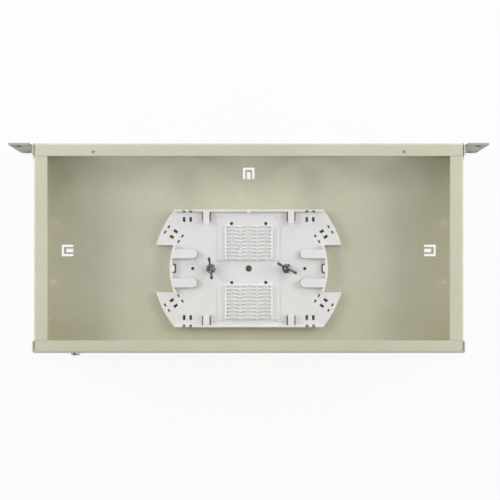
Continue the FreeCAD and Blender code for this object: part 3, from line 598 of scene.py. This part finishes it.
def thread_tree():
    """A four-cornered ridge wound round a core that hides its inner half, as a rolled thread looks."""
    found = bpy.data.node_groups.get("wound_ridge")
    if found is not None:
        return found
    tree, start, out = tree_of("wound_ridge", {
        "Radius": "NodeSocketFloat", "Ridge": "NodeSocketFloat", "Turns": "NodeSocketFloat",
        "Height": "NodeSocketFloat", "Material": "NodeSocketMaterial"})
    spiral = add_node(tree, "GeometryNodeCurveSpiral", {
        "Resolution": 24, "Rotations": start.outputs["Turns"], "Start Radius": start.outputs["Radius"],
        "End Radius": start.outputs["Radius"], "Height": start.outputs["Height"], "Reverse": False})
    ridge = add_node(tree, "GeometryNodeCurvePrimitiveCircle", {
        "Resolution": 4, "Radius": start.outputs["Ridge"]})
    wound = add_node(tree, "GeometryNodeCurveToMesh", {
        "Curve": spiral.outputs[0], "Profile Curve": ridge.outputs[0], "Fill Caps": True})
    return close_tree(tree, out, wound.outputs[0], start.outputs["Material"])


def tooth_tree():
    """Twisted teeth in a circle, as round a shakeproof washer."""
    tree, start, out = tree_of("circle_of_teeth", {
        "Count": "NodeSocketInt", "Radius": "NodeSocketFloat", "Size": "NodeSocketVector",
        "Twist": "NodeSocketFloat", "Material": "NodeSocketMaterial"})
    circle = add_node(tree, "GeometryNodeCurvePrimitiveCircle", {
        "Resolution": 64, "Radius": start.outputs["Radius"]})
    spots = add_node(tree, "GeometryNodeCurveToPoints", {
        "Curve": circle.outputs[0], "Count": start.outputs["Count"]})
    face = add_node(
        tree, "FunctionNodeAlignRotationToVector", {"Vector": spots.outputs["Normal"]}, axis="X")
    tilt = add_node(tree, "ShaderNodeCombineXYZ", {"X": start.outputs["Twist"]})
    twisted = add_node(
        tree, "FunctionNodeRotateRotation", {0: face.outputs[0], 1: tilt.outputs[0]},
        rotation_space="LOCAL")
    tooth = add_node(tree, "GeometryNodeMeshCube", {"Size": start.outputs["Size"]})
    copies = add_node(tree, "GeometryNodeInstanceOnPoints", {
        "Points": spots.outputs["Points"], "Instance": tooth.outputs["Mesh"],
        "Rotation": twisted.outputs[0]})
    return close_tree(tree, out, copies.outputs[0], start.outputs["Material"])


def thread(name, major, run, pitch):
    """A wound ridge up to the major radius, over a run along +Z, in millimetres."""
    ridge = bpy.context.scene.fibre_box.fasteners.ridge
    # A little under the full height keeps the ridge inside the thread's own size.
    share = 0.97
    return grown(thread_tree(), name, {
        "Radius": major * MM - ridge, "Ridge": ridge * share, "Turns": run / pitch, "Height": run * MM,
        "Material": zinc_plate()})


def cross_cut(mesh, name, height, reach, depth):
    """The mesh with a tapered cross recess cut into its top."""
    # An arm's length in reaches, its width and its height, at the recess's foot and over its mouth.
    foot, mouth = (0.9, 0.9, height - depth), (2.0, 1.1, height + 0.6)
    cutter = bmesh.new()
    for turn in (0, math.pi / 2):
        arm = bmesh.ops.create_cube(cutter, size=1.0)["verts"]
        for corner in arm:
            along, across, up = foot if corner.co.z < 0 else mouth
            corner.co.x *= reach * along
            corner.co.y *= across
            corner.co.z = up
        bmesh.ops.rotate(cutter, verts=arm, cent=(0, 0, 0), matrix=Matrix.Rotation(turn, 3, "Z"))
    bmesh.ops.scale(cutter, verts=cutter.verts, vec=(MM, MM, MM))
    return combined(name, mesh, as_mesh(cutter, f"{name}_tool"), "DIFFERENCE")


def pan_screw(name, shank, run, head, tall):
    """A pan-head screw: its head sits on z = 0 and its threaded shank points down."""
    fasteners = bpy.context.scene.fibre_box.fasteners
    pitch = fasteners.pitch / MM * shank / M4
    core = shank - fasteners.ridge / MM
    # The thread starts a little over the shank's end and stops short of the head.
    plain_end, plain_in_all = 0.5, 1.1
    profile = [
        (core * 0.7, -run), (core, 0.4 - run), (core, -0.25), (shank * 0.98, 0.0),
        (head - 0.15, 0.0), (head, 0.15), (head, tall * 0.45), (head * 0.96, tall * 0.66),
        (head * 0.85, tall * 0.84), (head * 0.68, tall * 0.95), (head * 0.45, tall),
    ]
    body = cross_cut(as_mesh(lathe(profile), name), name, tall, reach=head * 0.52, depth=tall * 0.62)
    ridge = thread(f"{name}_thread", shank, run - plain_in_all, pitch)
    foot = Matrix.Translation((0, 0, (plain_end - run) * MM))
    mesh = joined(name, [(body, Matrix()), (ridge, foot)])
    smooth(mesh, degrees=32)
    return mesh


def hexagon_nut(name, flats, bore, tall):
    """A hexagon nut standing on z = 0, chamfered at both ends of its corners and of its bore."""
    around = 72
    turns = [2 * math.pi * step / around for step in range(around)]
    sector = math.pi / 3
    across = [flats / 2 / math.cos(turn % sector - sector / 2) for turn in turns]
    flat = flats / 2 * 0.97
    slope = math.tan(math.radians(30))
    drop = [(radius - flat) * slope for radius in across]
    mouth, countersink = bore * 1.12, bore * 0.12

    def ring(radii, heights):
        return [
            Vector((radius * math.cos(turn), radius * math.sin(turn), height)) * MM
            for turn, radius, height in zip(turns, radii, heights)
        ]

    def circle(radius, height):
        return ring([radius] * around, [height] * around)

    mesh = as_mesh(skin([
        circle(mouth, 0.0),
        circle(flat, 0.0),
        ring(across, drop),
        ring(across, [tall - fall for fall in drop]),
        circle(flat, tall),
        circle(mouth, tall),
        circle(bore, tall - countersink),
        circle(bore, countersink),
    ], ring_closed=True), name)
    smooth(mesh, degrees=28)
    return mesh


def flat_ring(name, outer, inner, thick):
    """A stamped washer lying on z = 0, rounded on one side by the punch."""
    mesh = as_mesh(lathe([
        (inner, 0.0), (outer - 0.12, 0.0), (outer, 0.12), (outer, thick - 0.22), (outer - 0.08, thick - 0.08),
        (outer - 0.24, thick), (inner + 0.1, thick), (inner, thick - 0.1),
    ], ring_closed=True), name)
    smooth(mesh, degrees=40)
    return mesh


def dress(node, form, material):
    """Put a node of folded sheet as it is, smooth over its bends."""
    mesh = merged_copy(node)
    smooth(mesh, degrees=35)
    put(f"{node}_{form}", mesh, material, "box", [node])


class FIBREBOX_OT_steel_sheets(bpy.types.Operator):
    """Dress the folded pan and its two end panels in powder coat"""
    bl_idname = "fibre_box.steel_sheets"
    bl_label = "Steel sheets"

    def execute(self, context):
        for node in ("base_pan", "front_panel", "rear_panel"):
            dress(node, "sheet", powder_coat())
        return {"FINISHED"}


class FIBREBOX_OT_rack_ears(bpy.types.Operator):
    """Dress the two rack ears in plated steel"""
    bl_idname = "fibre_box.rack_ears"
    bl_label = "Rack ears"

    def execute(self, context):
        for hand in HANDS:
            dress(f"rack_ear_{hand}", "plate", plated_steel())
        return {"FINISHED"}


class FIBREBOX_OT_ear_fixings(bpy.types.Operator):
    """Make the screws and nuts that hold the rack ears"""
    bl_idname = "fibre_box.ear_fixings"
    bl_label = "Ear fixings"

    def execute(self, context):
        fasteners = context.scene.fibre_box.fasteners
        for hand, sign in HANDS.items():
            screws = [f"ear_screw_{hand}_{level}" for level in LEVELS]
            nuts = [f"ear_nut_{hand}_{level}" for level in LEVELS]
            step = middle(screws[1]) - middle(screws[0])
            outward = math.pi / 2 * sign

            low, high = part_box(screws[0])
            seat = (high.x if sign > 0 else low.x) - fasteners.head * sign
            run = (high.x - low.x - fasteners.head) / MM
            head = (high.y - low.y) / 2 / MM
            screw = pan_screw("ear_screw", M4, run, head, fasteners.head / MM)
            self.pair(f"ear_screws_{hand}", screw, screws, seat, step, outward)

            low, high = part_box(nuts[0])
            seat = high.x if sign > 0 else low.x
            flats = (high.z - low.z) / MM * math.cos(math.pi / 6)
            nut = hexagon_nut("ear_nut", flats, M4 + NUT_PLAY, (high.x - low.x) / MM)
            self.pair(f"ear_nuts_{hand}", nut, nuts, seat, step, -outward)
        return {"FINISHED"}

    def pair(self, name, form, nodes, seat, step, turn):
        """Put a form at the lower and the upper fixing of one ear."""
        first = (seat, middle(nodes[0]).y, middle(nodes[0]).z)
        mesh = in_row(form, name, len(nodes), first, step, (0.0, turn, 0.0), zinc_plate())
        put(name, mesh, zinc_plate(), "box", nodes)


class FIBREBOX_OT_ground_point(bpy.types.Operator):
    """Make the ground screw on the rear wall with its toothed washer and nut"""
    bl_idname = "fibre_box.ground_point"
    bl_label = "Ground point"

    def execute(self, context):
        fasteners = context.scene.fibre_box.fasteners
        spot = middle("ground_screw")
        outward = Matrix.Rotation(-math.pi / 2, 4, "X")
        inward = Matrix.Rotation(math.pi / 2, 4, "X")

        low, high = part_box("ground_screw")
        tall = fasteners.ground_head
        screw = pan_screw(
            "ground_screw", M5, (high.y - low.y - tall) / MM, (high.x - low.x) / 2 / MM, tall / MM)
        seat = Matrix.Translation((spot.x, high.y - tall, spot.z)) @ outward
        put("ground_screw_pan", screw, zinc_plate(), "box", ["ground_screw"], seat)

        low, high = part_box("ground_washer")
        washer = self.toothed_ring((high.x - low.x) / 2, high.y - low.y, fasteners.teeth)
        seat = Matrix.Translation((spot.x, low.y, spot.z)) @ outward
        put("ground_washer_toothed", washer, zinc_plate(), "box", ["ground_washer"], seat)

        low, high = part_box("ground_nut")
        nut = hexagon_nut("ground_nut", (high.z - low.z) / MM, M5 + NUT_PLAY, (high.y - low.y) / MM)
        seat = Matrix.Translation((spot.x, high.y, spot.z)) @ inward
        put("ground_nut_hex", nut, zinc_plate(), "box", ["ground_nut"], seat)
        return {"FINISHED"}

    def toothed_ring(self, outer, thick, count):
        """A ring lying on z = 0 with twisted teeth round it, thinner than the teeth stand."""
        inset, tooth_zone = 0.1, 1.6
        tooth, twist = (1.9 * MM, 1.5 * MM, 0.3 * MM), math.radians(19)
        rim, top = outer / MM - tooth_zone, thick / MM - inset
        ring = as_mesh(lathe([
            (TOOTHED_HOLE, inset), (rim, inset), (rim, top), (TOOTHED_HOLE, top),
        ], ring_closed=True), "ground_washer_ring")
        teeth = grown(tooth_tree(), "ground_washer_teeth", {
            "Count": count, "Radius": outer - tooth[0] / 2, "Size": tooth, "Twist": twist,
            "Material": zinc_plate()})
        teeth.transform(Matrix.Translation((0, 0, thick / 2)))
        mesh = united("ground_washer_toothed", ring, teeth)
        smooth(mesh, degrees=30)
        return mesh


def skirt(node, level, drop, thick):
    """A wall that hangs from the outline of a node's underside, flush with its edge."""
    hair, nearly_upright, nearly_flat = 0.01 * MM, 0.1, 0.9
    form = bmesh.new()
    form.from_mesh(merged_copy(node))
    onward = {}
    for edge in form.edges:
        if any(abs(corner.co.z - level) > hair for corner in edge.verts):
            continue
        upright = [loop for loop in edge.link_loops if abs(loop.face.normal.z) < nearly_upright]
        under = [loop for loop in edge.link_loops if loop.face.normal.z < -nearly_flat]
        if upright and under:
            onward[upright[0].vert] = upright[0].link_loop_next.vert
    outline = [max(onward, key=lambda corner: corner.co.x)]
    while onward[outline[-1]] is not outline[0]:
        outline.append(onward[outline[-1]])
    strip = bmesh.new()
    rows = [[strip.verts.new(spot.co - Vector((0, 0, fall))) for spot in outline] for fall in (0.0, drop)]
    for index in range(len(outline)):
        before = index - 1
        strip.faces.new((rows[0][index], rows[0][before], rows[1][before], rows[1][index]))
    form.free()
    holder = scratch(as_mesh(strip, "skirt"), "skirt")
    wall = holder.modifiers.new("wall", "SOLIDIFY")
    wall.thickness = thick
    wall.offset = -1.0
    wall.use_even_offset = True
    return plain_mesh(holder, "skirt")


class FIBREBOX_OT_splice_tray(bpy.types.Operator):
    """Dress the moulded splice tray and add its skirt and pegs"""
    bl_idname = "fibre_box.splice_tray"
    bl_label = "Splice tray"

    def execute(self, context):
        tray = context.scene.fibre_box.tray
        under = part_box("splice_tray")[0].z + tray.lift
        tall, wide = tray.peg_height / MM, tray.peg / MM / 2
        root, bevel = -0.2, 0.3
        peg = as_mesh(lathe([(wide, root), (wide, tall - bevel), (wide - bevel, tall)], around=20), "peg")
        meshes = [(skirt("splice_tray", under, tray.skirt, tray.skirt_wall), Matrix())]
        for end in (-1, 1):
            reach = middle("splice_tray").y + tray.peg_reach * end
            first = (-tray.peg_spacing / 2, reach, under + tray.floor)
            pegs = in_row(peg.copy(), "pegs", 2, first, (tray.peg_spacing, 0, 0), (0, 0, 0), tray_plastic())
            meshes.append((pegs, Matrix()))
        mesh = united("splice_tray_moulding", merged_copy("splice_tray"), joined("skirt_and_pegs", meshes))
        smooth(mesh, degrees=35)
        put("splice_tray_moulding", mesh, tray_plastic(), "box", ["splice_tray"])
        return {"FINISHED"}


def bar(name, line, across, tall, thick):
    """An upright bar with a rounded top, rooted just under z = 0, that follows a line."""
    root, shoulder = -0.3, tall - 0.35
    # Across the bar in shares of its thickness, and up in millimetres.
    section = [(-0.5, root), (-0.5, shoulder), (-0.25, tall), (0.25, tall), (0.5, shoulder), (0.5, root)]
    side = Vector(across) * thick
    return as_mesh(skin([
        [(Vector((x, y, up)) + side * share) * MM for share, up in section] for x, y in line
    ]), name)


def comb_row(tray, tall):
    """One row of a comb on the right: a rib with a soft kink that grips a sleeve, and a tooth on the rail."""
    thick = tray.rib / MM
    # Distance out from the plate's middle, and how far the rib bends aside there.
    kink = [
        (2.4, 0.0), (6.5, 0.0), (7.3, 0.25), (8.3, 1.2), (9.0, 1.5), (9.7, 1.2), (10.7, 0.25), (11.5, 0.0),
        (15.6, 0.0),
    ]
    rib = bar("kinked_rib", kink, (0, 1, 0), tall, thick)
    bite = 0.3
    tooth = bar("tooth", [(tray.tooth / MM, 0.0), (tray.rail / MM + bite, 0.0)], (0, 1, 0), tall, thick)
    return joined("comb_row", [(rib, Matrix()), (tooth, Matrix())])


def comb(tray, name, sign, foot, tall):
    """One comb of a holder, on its left or right: rows from the foot on, and the rail behind them."""
    ribs = comb_row(tray, tall)
    out = (tray.rail + tray.rail_width / 2) / MM
    run = tray.rib_pitch * (tray.ribs - 1) / MM
    edge = tray.rib / MM / 2
    rail = bar("rail", [(out, -edge), (out, run + edge)], (1, 0, 0), tall, tray.rail_width / MM)
    rail.transform(Matrix.Translation(foot))
    if sign < 0:
        for mesh in (ribs, rail):
            mesh.transform(Matrix.Scale(-1, 4, (1, 0, 0)))
            mesh.flip_normals()
    rows = in_row(
        ribs, name, tray.ribs, foot, (0.0, tray.rib_pitch, 0.0), (0.0, 0.0, 0.0), holder_plastic())
    return joined(name, [(rows, Matrix()), (rail, Matrix())])


def holder_plate(tray, low, high):
    """The flat plate of a holder, at the foot of its box, with its edges rounded."""
    spot = (low + high) / 2
    plate = bmesh.new()
    bmesh.ops.create_cube(plate, size=1.0)
    bmesh.ops.scale(plate, verts=plate.verts, vec=(high.x - low.x, high.y - low.y, tray.plate))
    bmesh.ops.translate(plate, verts=plate.verts, vec=(spot.x, spot.y, low.z + tray.plate / 2))
    return edged(as_mesh(plate, "holder_plate"), "holder_plate", width=0.2 * MM, steps=2)


class FIBREBOX_OT_splice_holders(bpy.types.Operator):
    """Make the two splice holders, each a plate with two combs of kinked ribs"""
    bl_idname = "fibre_box.splice_holders"
    bl_label = "Splice holders"

    def execute(self, context):
        tray = context.scene.fibre_box.tray
        for row in ("front", "rear"):
            node = f"splice_holder_{row}"
            low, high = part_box(node)
            tall = (high.z - low.z - tray.plate) / MM
            start = middle(node).y + tray.comb_shift - tray.rib_pitch * (tray.ribs - 1) / 2
            foot = (0.0, start, low.z + tray.plate)
            combs = [(comb(tray, f"comb_{row}", sign, foot, tall), Matrix()) for sign in HANDS.values()]
            mesh = united(f"{node}_combs", holder_plate(tray, low, high), joined("combs", combs))
            smooth(mesh, degrees=20)
            put(f"{node}_combs", mesh, holder_plastic(), "box", [node])
        return {"FINISHED"}


def wing_nut_mesh(name, tall, span):
    """A tapered boss with two pressed wings, on z = 0, with the wings along X."""
    fasteners = bpy.context.scene.fibre_box.fasteners
    boss, bore = fasteners.boss / MM, M4 + NUT_PLAY
    core = as_mesh(lathe([
        (bore, 0.25), (2.35, 0.0), (3.95, 0.0), (4.1, 0.2), (4.0, 1.2), (3.5, boss - 0.5), (3.2, boss - 0.1),
        (2.9, boss), (2.4, boss), (bore, boss - 0.3),
    ], ring_closed=True), "wing_nut_boss")
    arm, half = fasteners.wing / MM / 2, span / 2
    # Spots along a wing: distance out, height, half thickness and half depth.
    spots = [
        (2.6, 2.3, arm * 1.4, 1.9), (4.0, 3.1, arm * 1.15, 1.7), (5.2, 4.3, arm, 1.5), (6.3, 5.6, arm, 1.5),
        (half - 4.3, 6.6, arm * 1.2, 1.8), (half - 3.4, 7.4, arm * 1.6, 2.2),
        (half - 2.4, 7.9, arm * 1.75, 2.4), (half - 1.3, 8.1, arm * 1.75, 2.4),
        (half - 0.5, 8.1, arm * 1.45, 2.0), (half - 0.1, 8.1, arm * 0.9, 1.2), (half, 8.1, arm * 0.35, 0.5),
    ]
    around, lean = 20, 0.35
    turns = [2 * math.pi * step / around for step in range(around)]

    def section(sign, x, z, wide, deep):
        return [
            Vector((
                (x - deep * lean * math.sin(turn)) * sign,
                wide * math.cos(turn),
                min(z + deep * math.sin(turn), tall))) * MM
            for turn in turns
        ]

    wings = [as_mesh(skin([section(sign, *spot) for spot in spots]), "wing") for sign in HANDS.values()]
    mesh = united(name, core, joined("wings", [(wing, Matrix()) for wing in wings]))
    smooth(mesh, degrees=40)
    return mesh


class FIBREBOX_OT_tray_fixings(bpy.types.Operator):
    """Make the studs, washers and wing nuts that clamp the tray"""
    bl_idname = "fibre_box.tray_fixings"
    bl_label = "Tray fixings"

    def execute(self, context):
        fasteners = context.scene.fibre_box.fasteners
        turns = {"left": fasteners.left_turn, "right": fasteners.right_turn}
        for hand, turn in turns.items():
            stud, washer, nut = f"tray_stud_{hand}", f"tray_washer_{hand}", f"wing_nut_{hand}"
            spot = middle(stud)

            low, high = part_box(stud)
            form = self.threaded_rod((high.z - low.z) / MM, fasteners)
            foot = Matrix.Translation((spot.x, spot.y, low.z))
            put(f"{stud}_threaded", form, zinc_plate(), "box", [stud], foot)

            low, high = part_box(washer)
            form = flat_ring("tray_washer", (high.x - low.x) / 2 / MM, WASHER_HOLE, (high.z - low.z) / MM)
            seat = Matrix.Translation((spot.x, spot.y, low.z))
            put(f"{washer}_flat", form, zinc_plate(), f"{hand}_washer", [washer], seat)

            low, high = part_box(nut)
            form = wing_nut_mesh("wing_nut", (high.z - low.z) / MM, fasteners.wing_span / MM)
            seat = Matrix.Translation((spot.x, spot.y, low.z)) @ Matrix.Rotation(turn, 4, "Z")
            put(f"{nut}_pressed", form, zinc_with_painted_wing_shade(), f"{hand}_wing_nut", [nut], seat)
        return {"FINISHED"}

    def threaded_rod(self, tall, fasteners):
        """A stud on z = 0 with a bevelled end and a thread that leaves both ends plain."""
        core, bevel = M4 - fasteners.ridge / MM, 0.5
        plain_foot, plain_in_all = 0.4, 1.0
        shank = as_mesh(lathe([(core, 0.0), (core, tall - bevel), (core - bevel, tall)]), "stud_core")
        ridge = thread("stud_thread", M4, tall - plain_in_all, fasteners.pitch / MM)
        start = Matrix.Translation((0, 0, plain_foot * MM))
        mesh = joined("stud", [(shank, Matrix()), (ridge, start)])
        smooth(mesh, degrees=32)
        return mesh


class FIBREBOX_OT_stage(bpy.types.Operator):
    """Set the white bench, the soft lights and the camera over the box"""
    bl_idname = "fibre_box.stage"
    bl_label = "Stage"

    def execute(self, context):
        stage = context.scene.fibre_box.stage
        scene = context.scene
        scene.view_settings.view_transform = "Standard"
        self.bench(stage)
        self.sky(scene, stage)
        out, along, up = stage.side_place
        for hand, sign in HANDS.items():
            self.light(f"{hand}_light", (out * sign, along, up), stage.side_size, stage.side)
        self.light("front_light", stage.front_place, stage.front_size, stage.front)
        lens = bpy.data.cameras.new("camera")
        lens.lens = stage.lens
        lens.shift_x, lens.shift_y = stage.shift
        camera = bpy.data.objects.new("camera", lens)
        camera.location = (0.0, stage.eye_back, stage.eye)
        camera.rotation_euler = (0.0, 0.0, math.pi)
        scene.collection.objects.link(camera)
        scene.camera = camera
        return {"FINISHED"}

    def bench(self, stage):
        """Lay wide paper just under the box, with a light of its own that keeps it white."""
        reach, drop = 20.0, 0.5 * MM
        form = bmesh.new()
        bmesh.ops.create_grid(form, x_segments=1, y_segments=1, size=reach)
        bmesh.ops.translate(form, verts=form.verts, vec=(0, 0, -drop))
        mesh = as_mesh(form, "bench")

        def build(tree, where):
            return add_node(tree, "ShaderNodeBsdfPrincipled", {
                "Base Color": stage.paper_shade, "Roughness": 0.8, "Emission Color": stage.paper,
                "Emission Strength": stage.glow})

        mesh.materials.append(finish("bench_paper", build))
        bench = bpy.data.objects.new("bench", mesh)
        bpy.context.scene.collection.objects.link(bench)

    def sky(self, scene, stage):
        """Light the room: fully at the horizon and sides, dimly overhead, not in front, less behind."""
        # From the front of the room to its back: where, and the share of light there.
        fade_stops = ((0.12, 0.0), (0.3, 1.0), (0.7, 1.0), (0.88, 0.4))
        # Heights from level, at 0, to overhead, at 1.
        haze_low, haze_high, zenith_low, zenith_high = 0.1, 0.3, 0.75, 0.95
        scene.world = bpy.data.worlds.new("studio")
        scene.world.use_nodes = True
        tree = scene.world.node_tree
        tree.nodes.clear()
        where = add_node(tree, "ShaderNodeTexCoord")
        axes = add_node(tree, "ShaderNodeSeparateXYZ", {0: where.outputs["Generated"]})
        depth = add_node(tree, "ShaderNodeMapRange", {
            "Value": axes.outputs["Y"], "From Min": -1.0, "From Max": 1.0})
        fade = add_node(tree, "ShaderNodeValToRGB", {"Fac": depth.outputs[0]})
        stops = fade.color_ramp.elements
        for place, amount in fade_stops[len(stops):]:
            stops.new(place)
        for stop, (place, amount) in zip(stops, fade_stops):
            stop.position = place
            stop.color = (amount, amount, amount, 1.0)
        dim = add_node(tree, "ShaderNodeMapRange", {
            "Value": axes.outputs["Z"], "From Min": zenith_low, "From Max": zenith_high,
            "To Min": stage.sky, "To Max": stage.zenith})
        haze = add_node(tree, "ShaderNodeMapRange", {
            "Value": axes.outputs["Z"], "From Min": haze_low, "From Max": haze_high,
            "To Min": 1.0, "To Max": 0.0})
        share = add_node(
            tree, "ShaderNodeMath", {0: fade.outputs["Color"], 1: haze.outputs[0]}, operation="MAXIMUM")
        level = add_node(
            tree, "ShaderNodeMath", {0: share.outputs[0], 1: dim.outputs[0]}, operation="MULTIPLY")
        glow = add_node(tree, "ShaderNodeBackground", {
            "Color": linear("#FFFFFF"), "Strength": level.outputs[0]})
        add_node(tree, "ShaderNodeOutputWorld", {"Surface": glow.outputs[0]})

    def light(self, name, place, size, watts):
        """Hang a round soft light that faces the box's middle."""
        lamp = bpy.data.lights.new(name, "AREA")
        lamp.shape = "DISK"
        lamp.size = size
        lamp.energy = watts
        stand = bpy.data.objects.new(name, lamp)
        stand.location = place
        stand.rotation_euler = Vector(place).to_track_quat("Z", "Y").to_euler()
        bpy.context.scene.collection.objects.link(stand)


OPERATORS = (
    FIBREBOX_OT_stage,
    FIBREBOX_OT_steel_sheets,
    FIBREBOX_OT_rack_ears,
    FIBREBOX_OT_ear_fixings,
    FIBREBOX_OT_ground_point,
    FIBREBOX_OT_splice_tray,
    FIBREBOX_OT_splice_holders,
    FIBREBOX_OT_tray_fixings,
)


class FIBREBOX_PT_panel(bpy.types.Panel):
    """Sizes, colours and steps of the fibre distribution box"""
    bl_idname = "FIBREBOX_PT_panel"
    bl_label = "Fibre distribution box"
    bl_space_type = "VIEW_3D"
    bl_region_type = "UI"
    bl_category = "Fibre box"

    def draw(self, context):
        settings = context.scene.fibre_box
        for group in (settings.steel, settings.fasteners, settings.tray, settings.stage):
            box = self.layout.box()
            for name in group.__annotations__:
                box.prop(group, name)
        for step in OPERATORS:
            self.layout.operator(step.bl_idname)


CLASSES = (
    SteelSettings, FastenerSettings, TraySettings, StageSettings, BoxSettings, *OPERATORS, FIBREBOX_PT_panel)


def register():
    """Make the settings, steps and panel known, and hang the settings on the scene."""
    for kind in CLASSES:
        bpy.utils.register_class(kind)
    bpy.types.Scene.fibre_box = PointerProperty(type=BoxSettings)


def unregister():
    """Undo what register did."""
    del bpy.types.Scene.fibre_box
    for kind in reversed(CLASSES):
        bpy.utils.unregister_class(kind)


def main():
    """Run every step in order."""
    register()
    for step in OPERATORS:
        group, name = step.bl_idname.split(".")
        getattr(getattr(bpy.ops, group), name)()


if __name__ == "__main__":
    main()
